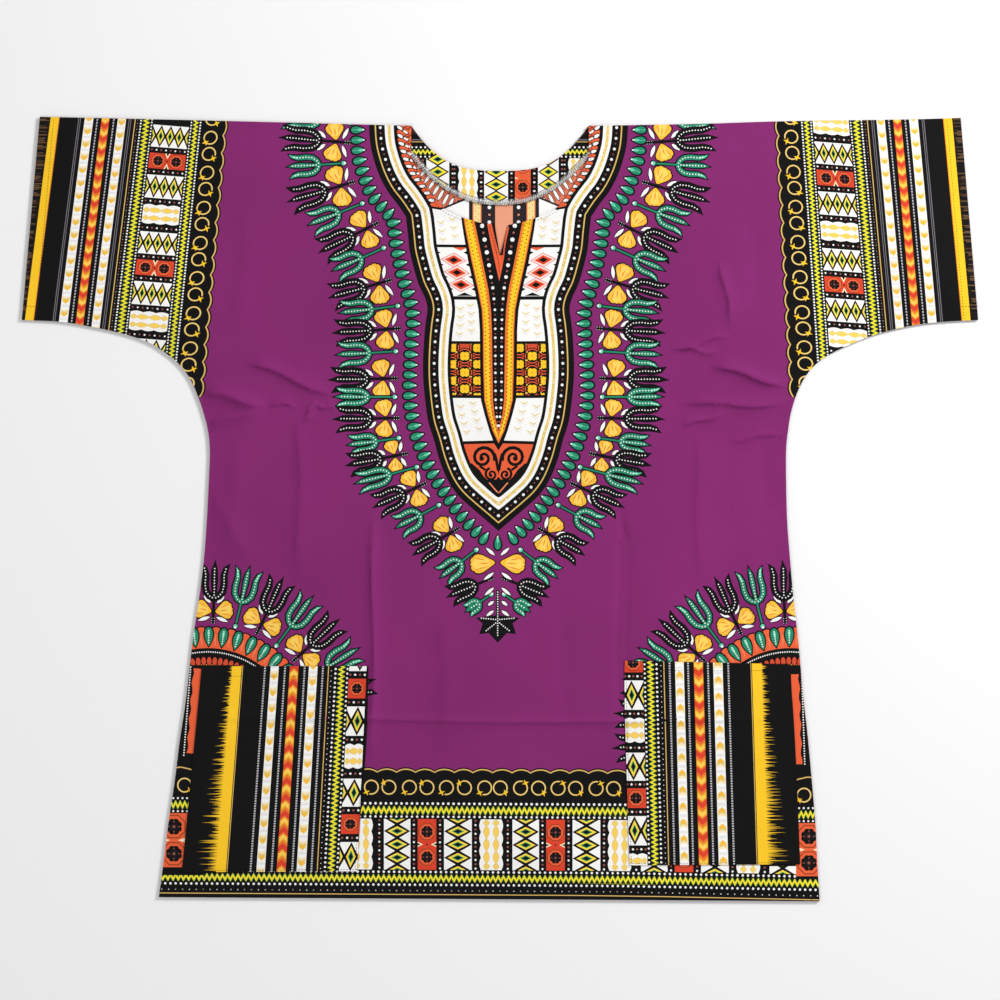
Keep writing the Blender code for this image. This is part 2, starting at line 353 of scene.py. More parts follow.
def cells(pen, u0, u1, start, stop, scale):
    """The stripe of patches, with a row of white dots between one patch and the next."""
    way = 1 if stop > start else -1
    for turn in range(int(abs(stop - start) / CELLS_REPEAT / scale) + 1):
        for draw, begin, end in CELLS:
            first = start + way * (turn * CELLS_REPEAT + begin) * scale
            last = start + way * (turn * CELLS_REPEAT + end) * scale
            if way * (first - stop) > 0:
                return
            if draw:
                draw(pen, u0, u1, min(first, last), max(first, last))
                continue
            count = max(2, round((u1 - u0 - 3) / 4.5))
            for n in range(count + 1):
                u = u0 + 1.5 + (u1 - u0 - 3) * n / count
                pen.disc("white" if n % 2 else "dim", u, first, 0.95 * scale, 6)


def ring(pen, u, v, radius, side, flip=1):
    """A gold ring closed by a small star on one side of it, low, or high if flip is -1."""
    pen.disc("ring", u, v, radius + 0.65, 16)
    pen.disc("black", u, v, radius - 0.7, 14)
    star = (u + radius * 0.72 * side, v - flip * radius * 0.72)
    pen.disc("black", star[0] - side * 0.6, star[1] + flip * 2.2, 2.5, 6)
    points = [(math.tau * (k / 8 + 0.06), 1.3 if k % 2 else 3.7) for k in range(8)]
    pen.fill("yellow", [(star[0] + size * math.cos(a), star[1] + size * math.sin(a)) for a, size in points])


def rings(pen, u, vs, radius, first=0, flip=1):
    """Rings in a row, with their stars on alternate sides."""
    for n, v in enumerate(vs):
        ring(pen, u, v, radius, 1 if (n + first) % 2 else -1, flip)


def scallops(pen, u, way, vs, depth, back):
    """The black ground's scalloped edge with its gold line. `back` is where the ground starts."""
    rim = []
    for v0, v1 in zip(vs, vs[1:]):
        rim += [(u + way * depth * math.sin(math.pi * t / 6) ** 0.8, v0 + (v1 - v0) * t / 6)
                for t in range(6)]
    rim.append((u, vs[-1]))
    pen.fill("black", [(a + way * 2, v) for a, v in rim] + [(back, rim[-1][1]), (back, rim[0][1])])
    pen.stroke("gold", rim, 1.25)


# ---------------------------------------------------------------- sleeves
# x of the cuff at the shoulder, its lean in each mm down, first diamonds, first ring, slope of the cells
SLEEVES = {-1: (-458, 0.1275, 775, 782, 0.08), 1: (460.5, 0.0925, 864.5, 783, -0.08)}
SHOULDER = 781
SLEEVE_END = 500  # the border runs down to the underarm
RING_STEPS = (18.9, 16.2)
CELLS_MIDDLE = 130


def sleeve(shapes, side):
    """The border down a sleeve: u runs from the cuff to the body, v is the height over the hem."""
    cuff, lean, first_cell, first_ring, tilt = SLEEVES[side]

    def place(u, v):
        fall = (SHOULDER - v) / 200
        stretch = 1 + 0.041 * fall * max(0, (u - 90) / 92)
        return (cuff - side * (u * stretch - (SHOULDER - v) * lean), v)

    pen = Pen(shapes, place)
    top, end = 800, SLEEVE_END
    random.seed(5 + side)
    edge = [top - n * 17.4 for n in range(18)]
    scallops(pen, 182.6, 1, edge, 2.6, -30)
    pen.box("soot", -30, 8.6, end, top, 8)
    for n in range(120):
        v = top - n * 1.75 - random.uniform(0, 0.6)
        ink = random.choice(("brown", "bark", "bark", "black"))
        pen.box(ink, -30, random.uniform(4.5, 8.6), v - 1, v)
    for n in range(34):
        v = top - 4 - n * 7.6 - random.uniform(0, 1.2)
        pen.box("black", -30, 8.2, v - 1.7, v)
    pen.box("yellow", 8.6, 16.8, end, top, 8)
    line(pen, "petal_dark", 17.2, top, end, 0.8)
    line(pen, "grey", 36.8, top, end, 0.8)
    line(pen, "grey", 38.6, top, end, 0.7)
    drops(pen, 42.8, 51.5, 786, end, 13)
    line(pen, "silver", 55.5, top, end, 1.3, 3)
    arrows(pen, 59.7, 67.5, 789, end, 13)
    line(pen, "silver", 72, top, end, 1.3, 3)
    drops(pen, 76, 84.2, 782, end, 13)
    line(pen, "grey", 87.3, top, end, 0.7)
    line(pen, "grey", 89.2, top, end, 0.7)
    line(pen, "gold", 93.4, top, end, 0.9)
    pen.dots("dim", 96, 786, end, 2.9, 0.55, 4, "shade")
    pen.dots("white", 99.4, 786, end, 2.9, 1, 5)
    zigzag(pen, 101.2, 108.6, end, 788, 4)
    pen.dots("white", 110.3, 787, end, 2.9, 0.9, 5)
    rows = Pen(shapes, lambda u, v: place(u, v - tilt * (u - CELLS_MIDDLE)))
    cells(rows, 112.2, 148, first_cell, 540, 1)
    pen.dots("white", 149.9, 787, end, 2.9, 0.9, 5)
    zigzag(pen, 151.4, 157.4, end, 788, 4)
    pen.dots("white", 159, 787, end, 2.9, 1, 5)
    vs = [first_ring]
    while vs[-1] > end:
        vs.append(vs[-1] - RING_STEPS[(len(vs) - 1) % 2])
    rings(pen, 170.4, vs[:-1], 6.4, 1 if side < 0 else 0)


# ---------------------------------------------------------------- hem
HEM_TOP = 130  # the gold line over the rings
HEM_LEAN = 0.006  # how much the hem's rows drop in each mm to the right
HEM_DROP = 0.014  # how much more the right end of the hem's lowest rows drops
HEM_MIDDLE = -7.5  # where the row of rings turns from one hand to the other


def hem(shapes):
    """The border over the hem: u runs down from its gold line, v along it."""

    def place(u, v):
        return v, HEM_TOP - u - HEM_LEAN * v - HEM_DROP * max(v - 120, 0) * u / 115

    pen = Pen(shapes, place)
    low, high = -345, 330
    steps = [HEM_MIDDLE + s for s in (-155, -134.5, -115, -96, -77, -58, -38, -19.5, 0)]
    steps += [2 * HEM_MIDDLE - s for s in reversed(steps[:-1])]
    scallops(pen, 1.5, -1, steps, 3, 60)
    pen.box("black", 60, 102, -155, 298, 10)
    pen.box("black", 99.5, 140, low, high, 10)
    for side in (-1, 1):
        vs = [HEM_MIDDLE + side * s for s in (7.8, 28, 46, 65.5, 83, 103.5, 121)]
        rings(pen, 16.7, vs, 6.9, 1, -side)
    pen.dots("white", 32.8, -140, 135, 5.2, 1.4, 6)
    zigzag(pen, 35, 44.2, -142, 137, 5.2)
    pen.dots("white", 45.9, -140, 135, 5.2, 1.25, 6)
    cells(pen, 48.2, 99, -116, 300, 1.206)
    lozenges(pen, 48.2, 99, -150, -127)
    for n in range(12):
        pen.disc("white" if n % 2 else "dim", 49.7 + n * 4.3, -120.6, 1.1, 6)
    pen.dots("white", 101.2, low, high, 5.2, 1.3, 6)
    zigzag(pen, 103.4, 111.9, low, high, 5.2)
    pen.dots("white", 114.1, low, high, 5.2, 1.3, 6)
    pen.dots("shade", 120, low, high, 6.9, 0.7, 4)
    line(pen, "gold", 123.8, low, high, 0.9)
    pen.dots("shade", 128.6, low, high, 3.4, 0.6, 3)


# ---------------------------------------------------------------- the yoke round the neck
AXIS = -1.5
#             reach    up
YOKE_EDGE = ((130, 792), (128.5, 760), (124.5, 741), (118.5, 724), (110.5, 709), (100.5, 696),
             (92.5, 684), (90.5, 666), (89, 651), (85.5, 636), (80, 617), (73.5, 603),
             (71, 592), (72.8, 578), (74.5, 560), (75.5, 535), (74.5, 512), (70.5, 481),
             (64.5, 461), (59, 441), (50.8, 421), (41, 406.5), (28.5, 394.5), (14.5, 382.6),
             (0, 370))
TIP_SHARE = 1.36  # how much further in a band lies at the point than at the sides

# Bands inward from the edge: (from, to, ink)
YOKE_BANDS = ((0, 5.6, "black"), (5.6, 6.9, "gold"), (6.9, 15.6, "black"), (15.6, 18.4, "white"),
              (18.4, 21.4, "straw"), (21.4, 24.6, "white"), (24.6, 27.8, "black"))

# The bands each side of the slit: (up, edge of the black, edge of the strip, its inner edge, dots)
PLACKET = ((700, 39, 37, 27, 19.5), (681, 37, 34.6, 24.2, 17.4), (671, 35.6, 33, 22.2, 15.6),
           (640, 30.4, 27, 16, 10.2), (611, 23.8, 20.6, 10, 5.4), (591, 20, 16.7, 7.6, 3.6),
           (571, 18.7, 15.6, 6.6, 3.2), (531, 18.4, 15.2, 6.1, 3.1), (501, 17.6, 14.2, 5.6, 2.9),
           (486, 13.8, 10.6, 4, 1.8), (470, 9, 5.8, 0, 0), (457.5, 4.4, 0, 0, 0),
           (450.5, 0, 0, 0, 0))
YOKE_LINES = ((655, 2.8), (603, 3.4), (558.5, 2.8), (504.5, 3), (459.5, 3))  # up, width


def inset(path, depth):
    """The path moved in by a depth, for one half of the yoke, down to its point on the axis."""
    made = []
    for n, (r, up) in enumerate(path):
        a, b = path[max(n - 1, 0)], path[min(n + 1, len(path) - 1)]
        dr, du = b[0] - a[0], b[1] - a[1]
        size = math.hypot(dr, du)
        point = (r + du / size * depth, up - dr / size * depth)
        if point[0] < 0.4 or point[1] < path[-1][1] + TIP_SHARE * depth:
            continue
        near = min(math.hypot(point[0] - r1, point[1] - up1) for r1, up1 in path)
        if near > depth - 0.35:
            made.append(point)
    return made + [(0, path[-1][1] + TIP_SHARE * depth)]


def reach_at(path, up):
    """How far a path lies from the axis at a height."""
    for (r0, up0), (r1, up1) in zip(path, path[1:]):
        if up1 <= up <= up0 and up0 > up1:
            return r0 + (r1 - r0) * (up0 - up) / (up0 - up1)
    return 0


def half_pen(shapes, side):
    """A pen for one half of the yoke: u is the distance from its axis, v the height."""
    return Pen(shapes, lambda u, v: (AXIS + side * u, v))


def chevrons(pen, inner, top, bottom):
    """Two columns of small pale v's between the slit's bands and the inner line."""
    rows = int((top - bottom - 4) / 8.4)
    for n in range(rows + 1):
        up = top - 4.6 - n * 8.4
        near, far = row_at(PLACKET[::-1], up)[1], reach_at(inner, up)
        for column, drop in ((0.3, 0), (0.72, 3.4)):
            r = near + (far - near) * column
            if up - drop - 3.4 < bottom:
                continue
            for ink, fall in (("shade", 2.6), ("straw", 0)):
                low = up - drop - fall
                pen.stroke(ink, [(r - 3.8, low + 1), (r, low - 1.7), (r + 3.8, low + 1)], (0.7, 1.7, 0.7))


def pink_diamonds(pen, inner):
    """The white patch with diamonds in pink, red and black, and dark ticks on its edges."""
    for up, near in ((640, 30.4), (627.4, 27.6), (615.2, 25)):
        r = (near + reach_at(inner, up)) / 2
        cell = pen.at((r - 13, up), (r, up + 0.9))
        for ink, start, width in (("pink", -0.5, 15), ("white", 1.6, 12.6), ("coral_light", 3.2, 10.4),
                                  ("red", 4.8, 8.6), ("black", 8.4, 5.2)):
            cell.blade(ink, start, 26 - start, width, DIAMOND)
    for n in range(4):
        up = 648 - n * 12.2
        for r, way in ((row_at(PLACKET[::-1], up)[1], 1), (reach_at(inner, up), -1)):
            pen.fill("black", [(r - way, up + 2.2), (r + way * 3.4, up + 0.4), (r - way, up - 2)])
    for r, up, way in ((38, 653.6, -1), (34, 605, 1)):
        pen.fill("coral" if way < 0 else "black", [(r - 8, up), (r, up + way * 3.4), (r + 8, up)])


def blossoms(pen, inner):
    """The patch of yellow blossoms in black rings on coral."""
    top, bottom = 557, 506
    near, far = 15, 48
    pen.fill("tongue", [(near, bottom), (far, bottom), (far, top), (near, top)])
    middle = (18.6 + reach_at(inner, 530)) / 2
    for row in range(7):
        up = 553 - row * 8.2
        for r in ((middle,) if row % 2 else (middle - 13, middle + 13)):
            for ink, size in (("black", 8.6), ("coral", 7.6), ("black", 6.6)):
                pen.disc(ink, r, up, size, 12, 0.5)
            for n in range(4):
                angle = math.tau * (n + 0.5) / 4
                pen.disc("yellow", r + 2.5 * math.cos(angle), up + 2 * math.sin(angle), 2.9, 8)
            pen.disc("yellow", r, up, 3.6, 8)
            pen.disc("petal_dark", r, up, 0.9, 5)
    for row in range(7):
        up = 553 - row * 8.2
        for r in ((middle - 6.6, middle + 6.6) if row % 2 else (middle - 7.6, middle + 7.6)):
            for side in (-1, 1):
                pen.disc("black", r, up + side * 4, 1.9, 5)
                pen.disc("petal_light", r + 1.2, up + side * 4, 0.9, 4)
    for low, high in ((470, 504.5), (558.5, 575)):
        pen.fill("white", [(2, low), (60, low), (60, high), (2, high)])


def spiral(pen, centre, start, end, turns, phase, width):
    """A black line that winds out from a dot, from one radius to another."""
    count = int(14 * turns)
    path = []
    for n in range(count + 1):
        angle = phase + math.tau * turns * (n / count)
        radius = start + (end - start) * (n / count)
        path.append((centre[0] + radius * math.cos(angle), centre[1] + radius * math.sin(angle)))
    pen.stroke("black", path, [width * (0.75 + 0.25 * n / count) for n in range(count + 1)])
    pen.disc("black", *path[0], width * 0.72, 8)


def scrolls(pen):
    """The coral point of the yoke with its four black scrolls."""
    pen.fill("coral", [(0, 459.5), (44, 459.5), (34, 430), (0, 396)])
    pen.fill("black", [(0, 424), (7, 420), (14.4, 424), (19, 431), (27, 438), (34, 430),
                       (14, 405), (0, 396)])
    spiral(pen, (15.4, 443.2), 1.6, 12, 1.62, -0.5, 3.5)
    pen.stroke("black", [(4, 447.5), (2.2, 441), (1, 434), (0.6, 426)], (3, 3, 2.6, 2))
    pen.disc("coral", 7, 426.6, 7, 14)
    spiral(pen, (7, 426.6), 1.3, 6.6, 1.35, -0.9, 2.6)
    pen.stroke("black", [(13, 431), (19, 435)], 2.4)
    pen.fill("black", [(0, 421.5), (14, 421.5), (0, 402)])
    pen.stroke("coral_light", [(9.4, 418.4), (0, 407.6)], 1.3)


def neck_ring(pen, inner):
    """The coral ring between the bands and the neckline, with pairs of white petals."""
    path = [point for point in inner if point[1] > 690]
    pen.fill("coral", [(r + 2, up) for r, up in path] + [(30, 689), (30, 800)])
    for r, up, dr, du in along(path, 8.2, 2):
        cell = pen.at((r, up), (r + du, up - dr))
        cell.disc("black", 0, 2, 2.6, 6)
        petal = cell.at((0.2, 0), (4, 2.6))
        petal.blade("black", -0.6, 7.6, 4.8, ROUND)
        petal.blade("white", 0.2, 6.6, 3.1, ROUND)
        petal = cell.at((6.2, -3.6), (9.2, -1.2))
        petal.blade("black", -0.8, 6.6, 4.2, ROUND)
        petal.blade("white", 0, 5.4, 2.5, ROUND)
        cell.stroke("soot", [(5, 3.4), (7.8, 1.6), (11, 3.8), (14, 1)], 0.9)
        cell.stroke("coral_light", [(8.4, -3), (12, -1), (14, -3.4)], 1)
    end = (reach_at(inner, 692) + 1, 693.5)
    pen.stroke("black", [end, (58, 692), (50, 695), (30, 704)], 2.2)


def placket(shapes):
    """The black bands with dots and the yellow strips that run from the neck to the slit's point."""
    for side in (-1, 1):
        pen = half_pen(shapes, side)
        pen.fill("black", [(r, up) for up, r, *_ in PLACKET] + [(0, 700)])
        outer = [(r, up) for up, _, r, _, _ in PLACKET[:-1]]
        inner = [(r, up) for up, _, _, r, _ in PLACKET[:-2]]
        pen.fill("orange", outer + inner[::-1])
        pen.fill("yellow", [(max(r - 1.2, 0), up + (3 if r < 1 else 0)) for r, up in outer]
                 + [(r + 2.4, up + (0 if r else 4)) for r, up in inner[::-1]])
        for share in (0.3, 0.72):
            column = [(a * share + b * (1 - share), up) for (a, up), (b, _) in zip(outer[:-1], inner)]
            for r, up, *_ in along(column, 3.9, 1.9 if share < 0.5 else 0):
                if up > 466:
                    pen.disc("rust", r, up, 0.85, 4)
        dots = [(r, up) for up, _, _, _, r in PLACKET[1:-2]]
        far, index = 0, 0
        for r, up, *_ in along(dots, 1):
            spacing = 4.4 + 2.6 * min(max((up - 560) / 110, 0), 1)
            far += 1
            if far >= spacing:
                far -= spacing
                index += 1
                size = 1.35 + 0.85 * min(max((up - 590) / 60, 0), 1)
                pen.disc("white" if index % 2 else "dim", r, up, size if index % 2 else size * 0.62, 8)
    pen = Pen(shapes)
    pen.fill("coral", [(-13.2, 678.5), (-8.6, 678.5), (-4.4, 660), (-0.4, 645.5), (4.4, 646),
                       (2.4, 634), (-0.8, 619.6), (-4.4, 636), (-8.8, 656)])
    pen.stroke("coral", [(8.6, 674), (5.4, 660), (3.4, 645)], 1.4)
    pen.stroke("rust", [(-10.4, 674), (-6, 656), (-1.6, 640), (-0.7, 628)], 0.7)


def yoke(shapes):
    """The patches, bands and dots of the yoke, painted from the inside out."""
    path = curve(YOKE_EDGE, 4.5, sharpest=24)
    inner = inset(path, 26.5)
    for side in (-1, 1):
        pen = half_pen(shapes, side)
        pen.fill("white", inset(path, 20) + [(0, 792)])
        neck_ring(pen, inset(path, 27.8))
        pink_diamonds(pen, inner)
        blossoms(pen, inner)
        for top, bottom in ((687, 657), (601, 560.5), (503, 462)):
            chevrons(pen, inner, top, bottom)
        scrolls(pen)
        for up, width in YOKE_LINES:
            far = reach_at(inner, up) + 2
            pen.stroke("black", [(2, up - 0.4), (far, up + (-1.4 if up < 500 else 0))], width)
    placket(shapes)
    for side in (-1, 1):
        pen = half_pen(shapes, side)
        for near, far, ink in YOKE_BANDS:
            pen.fill(ink, inset(path, near) + inset(path, far)[::-1])
        for n, (r, up, *_) in enumerate(along(inset(path, 11.2), 5.4, 3)):
            ink, size, sides = ("white", 1.5, 7) if n % 2 else ("dim", 0.95, 4)
            pen.disc(ink, r, up, size, sides, 0.5)
        random.seed(11)
        for r, up, dr, du in along(inset(path, 19.9), 2.6, 1):
            aside = random.uniform(-0.8, 0.8)
            pen.disc(random.choice(("gold", "petal_light", "gold", "cream")), r + du * aside, up - dr * aside,
                     random.uniform(0.8, 1.2), 4)


# ---------------------------------------------------------------- leaves, tulips and petals
def leaf(pen, length, width):
    """A green leaf from the pen's origin along u."""
    pen.blade("black", -1.7, length + 2, width + 3.3)
    pen.blade("green", 0, length, width)
    pen.blade("mint", length * 0.42, length * 0.96, width * 0.42, SLIVER)
    pen.blade("white", length * 0.8, length + 0.2, width * 0.24, DIAMOND)
    for n in range(4):
        pen.disc("mint", length * (0.1 + 0.12 * n), 0, 0.6, 4)


def fan(pen, length, width):
    """A yellow petal with orange streaks: its point at the origin, its wide scalloped end along u."""
    pen.blade("soot", -1.4, length + 1.3, width + 2.9, FAN)
    pen.blade("petal", 0, length, width, FAN)
    pen.blade("petal_light", length * 0.2, length * 0.92, width * 0.64, ROUND)
    for aside, start, end in ((-0.24, 0.3, 0.8), (0, 0.24, 0.66), (0.24, 0.38, 0.8)):
        streak = [(length * start, width * aside * 0.7), (length * (start + end) / 2, width * aside),
                  (length * end, width * aside * 1.25)]
        pen.stroke("petal_dark", streak, (0.4, 1.3, 0.4))


def sliver(pen, length, width=3.7):
    """A white petal with a black edge."""
    pen.blade("black", -1.2, length + 1.2, width + 2.2, SLIVER)
    pen.blade("white", 0, length, width, SLIVER)


def tulip(pen, base, length, green, spread=1):
    """A three-pronged flower: its stem from the origin to `base`, its tips at `length` along u."""
    rise = length - base
    prongs = []
    for side in (-1, 1):
        prongs.append(([(base - 0.5, 0), (base + rise * 0.06, side * 4.4), (base + rise * 0.2, side * 7.8),
                        (base + rise * 0.42, side * 9), (base + rise * 0.7, side * 8.6),
                        (base + rise * 0.9, side * 10.2), (base + rise * 1, side * 12.4)],
                       (3.6, 4.6, 5, 5, 4.6, 3.2, 0.5)))
    prongs.append(([(base + 1, 0), (base + rise * 0.25, 0), (base + rise * 0.6, 0.4),
                    (base + rise * 0.86, 0.6), (length + 1.5, 0.2)], (2.4, 3, 4.8, 3.8, 0.5)))
    prongs = [([(u, v * spread) for u, v in path], widths) for path, widths in prongs]
    pen.stroke("black", [(-1, 0), (base, 0)], 3.9 if green else 2.9)
    for path, widths in prongs:
        (u0, v0), (u1, v1) = path[-2:]
        point = (u1 + (u1 - u0) * 0.7, v1 + (v1 - v0) * 0.7)
        pen.stroke("black", path + [point], [w + 3 for w in widths[:-1]] + [2.6, 0.3])
    if green:
        pen.stroke("green", [(0, 0), (base + 2, 0)], 1.7)
        for path, widths in prongs:
            pen.stroke("green", path, widths)
            pen.stroke("mint", path[4:], [w * 0.5 for w in widths[4:]])
        pen.disc("black", 0, 0, 3.4, 8)
        pen.disc("mint", 0.2, 0, 2.3, 8)
        pen.disc("white", -1, 0, 1.3, 6)
    for path, _ in prongs:
        for u, v, *_ in along(path, 2.95, 2):
            if u < length - 2.5:
                pen.disc("white", u, v, 0.85, 4)
    if not green:
        for n in range(3):
            for side in (-1, 1):
                pen.disc("black", n * 2.4, side * 1.5, 1.4, 4)
                pen.disc("shade", n * 2.4, side * 1.4, 0.6, 3)


def stem_petals(pen, base, scale):
    """Two yellow petals and four white slivers beside a stem that runs from the origin to `base`."""
    for side in (-1, 1):
        root = base * 0.46
        fan(pen.at((root, side * 2), (root + 2.6 * scale, side * 14)), 17.6 * scale, 18 * scale)
        sliver(pen.at((base * 0.25, side * 3), (base * 0.08, side * 15)), 13 * scale)
        sliver(pen.at((base * 0.8, side * 3), (base + 4, side * 12)), 10.6 * scale)


#              reach    up
LEAF_RING = ((141, 775), (139.5, 745), (134, 725), (126, 706), (113.5, 691), (105.4, 681),
             (102.5, 660), (98.5, 639.5), (93.9, 619), (87.7, 599), (85, 580.6), (86.5, 561),
             (87.7, 536), (88.6, 506), (85, 478.6), (79.3, 459), (72.5, 441.5), (63.6, 424),
             (49.3, 402.8), (35, 383.4), (15.5, 364), (6, 358.5))
LEAF_PITCH = 10.3

# Tulips round the ring, green and black by turns: (reach and up of the stem's end, of the middle tip,
# spread of the head, scale of the petals on the stem)
TULIPS = ((148.5, 778, 214.5, 785, 1, 1), (148.5, 758, 214.5, 763, 1, 1),
          (154.5, 737.6, 208.5, 734, 0.95, 1), (144.5, 719, 206.5, 700, 1.05, 1.05),
          (136, 697.4, 187.5, 676.6, 1, 1), (120.5, 678, 175.5, 650, 1.05, 1),
          (114.5, 653, 163.5, 631, 1, 1), (107.5, 621, 165.5, 604, 1.05, 1.05),
          (100.5, 595, 156.5, 588, 0.95, 1), (98.5, 572.6, 161.5, 568, 1, 1),
          (102.5, 549.6, 159.5, 546, 1, 1), (101.5, 522.6, 165.5, 521, 0.95, 0.98),
          (103.5, 504, 161.5, 504, 0.72, 1), (99.5, 483, 161, 481.6, 1, 0.95),
          (99.5, 463, 148.5, 456, 0.76, 1), (91.5, 447.6, 148.5, 436, 0.9, 0.8),
          (81.5, 434, 140.5, 418, 0.85, 1), (72.5, 418, 121.5, 395, 1, 0.95),
          (59.5, 396, 100.5, 374, 1, 1), (40.2, 372.8, 82.5, 347.6, 1, 0.95),
          (22, 351.3, 56.3, 324.5, 0.9, 1))


STEM_SHARE = 0.46  # how much of a flower's length is stem


def ring_of_tulips(shapes):
    """The leaves round the yoke, and the flowers round them."""
    for side in (-1, 1):
        pen = half_pen(shapes, side)
        for r, up, dr, du in along(curve(LEAF_RING, 4, sharpest=90), LEAF_PITCH, 4):
            # the ring runs down, so the yoke lies to the right of its way
            root = (r - du * 6.6, up + dr * 6.6)
            leaf(pen.at(root, (r, up)), 13.6, 7)
        for r0, up0, r1, up1, _, scale in TULIPS[1::2]:
            stem_petals(pen.at((r0, up0), (r1, up1)), math.hypot(r1 - r0, up1 - up0) * STEM_SHARE, scale)
        for n, (r0, up0, r1, up1, spread, _) in enumerate(TULIPS):
            length = math.hypot(r1 - r0, up1 - up0)
            tulip(pen.at((r0, up0), (r1, up1)), length * STEM_SHARE, length, n % 2 == 0, spread)
    bottom_ornament(shapes)


def bottom_ornament(shapes):
    """Where the two halves of the ring meet, below the yoke's point."""
    middle = AXIS - 0.8
    whole = Pen(shapes, lambda u, v: (middle + u, v))
    leaf(whole.at((0, 351.5), (0, 360)), 14, 6.4)
    for side in (-1, 1):
        pen = Pen(shapes, lambda u, v: (middle + side * u, v))
        fan(pen.at((2.6, 338.6), (12, 337.8)), 25, 19)
        tulip(pen.at((5, 323.5), (49.3, 304.4)), 19, 46, False, 0.82)
        tulip(pen.at((6.4, 306.8), (32, 289.3)), 15, 29, True, 0.56)
        for r, up, out, rise, length in ((2.8, 345.6, 12, 353.6, 12), (3.6, 328.6, 12, 322.6, 13),
                                         (3.6, 313.6, 12, 306.6, 12.6), (3.8, 300, 10, 295.4, 7.6),
                                         (3.8, 290.6, 12, 284.6, 9.6)):
            sliver(pen.at((r, up), (out, rise)), length, 3.3)
        whole.fill("black", [(0, 286), (side * 22, 283.2), (side * 15, 277.6), (side * 18.4, 267),
                             (side * 9, 268), (0, 258.4)])
        for start, end in (((2, 281.6), (17, 283)), ((2, 278), (12, 270))):
            for r, up, *_ in along([start, end], 2.4):
                whole.disc("white", side * r, up, 0.75, 5)
    whole.stroke("black", [(0, 311), (0, 282)], (3.2, 3.8))
    for n in range(19):
        whole.disc("white", 0, 309 - n * 2.4, 0.75, 5)


# ---------------------------------------------------------------- the motifs over the pockets
# The middle of each sun
CORNERS = {-1: (-292, 163), 1: (290, 163)}


def corner(shapes, side):
    """A half sun: black ground, tongues, a coral band of leaves, and tulips round it."""
    cx, cup = CORNERS[side]

    def place(radius, degrees):
        angle = math.radians(degrees)
        return (cx - side * radius * math.sin(angle), cup + radius * math.cos(angle))

    def arc(radius, start=-45, end=130, steps=36):
        return [place(radius, start + (end - start) * n / steps) for n in range(steps + 1)]

    pen = Pen(shapes)

    def sector(ink, inner, outer):
        pen.fill(ink, arc(outer) + arc(inner)[::-1])

    def spoke(degrees, inner, outer):
        return pen.at(place(inner, degrees), place(outer, degrees), -side)

    def flower_spoke(n):
        return spoke(2.5 + 11.35 * n, 115, 172)

    for n in range(-2, 7, 2):
        stem_petals(flower_spoke(n), 25, 1)
    # on the right the last two lie under the pocket, and only their tips pass its edge
    for n in range(-3, 7 if side < 0 else 9):
        tulip(flower_spoke(n), 25, 58, n % 2 != 0 and n < 7, 1.06)
    sector("black", 0.5, 109.5)
    for ink, size in (("black", 7.4), ("coral", 6)):
        for n in range(-5, 7):
            pen.disc(ink, *place(105.2, 4.5 + 8.1 * n), size, 12)
    sector("coral", 90, 107.6)
    for n in range(-5, 7):
        spot = spoke(0.5 + 8.1 * n, 91.5, 111.5)
        spot.stroke("coral_light", [(1, -6.6), (7, -6.2), (12, -7)], (0.6, 1.2, 0.6))
        spot.blade("black", -1.4, 21, 11.2, REVERSED_LEAF)
        spot.blade("green", 0.4, 19.4, 8.4, REVERSED_LEAF)
        spot.blade("mint", 9, 16.4, 2.8, REVERSED_LEAF)
        for k in range(6):
            spot.disc("white", 4 + k * 2.4, 0, 0.85, 4)
    sector("black", 81.5, 90)
    for n in range(50):
        x, up = place(86.2, -40 + n * 1.5)
        pen.disc("white", x, up, 0.9, 4)
    for n in range(18):
        spot = spoke(-40 + n * 4.1, 71, 81)
        spot.blade("yellow", -1, 4, 6.4, ROUND)
        spot.blade("black", 0.6, 10.6, 6, ROUND)
        spot.blade("tongue", 1.8, 10.2, 4.6, ROUND)
    sector("black", 0.5, 70.4)


# ---------------------------------------------------------------- the strips beside the pockets
# The red strip's top and bottom, the ground's lowest place, and the flowers' lowest, middle and inner reach
SIDE_STRIPS = {-1: ((-308.8, 234), (-315.9, 143), 26, 34, -10, 17),
               1: ((301.2, 228), (304.4, 133), 22, 25, 4.4, 13)}


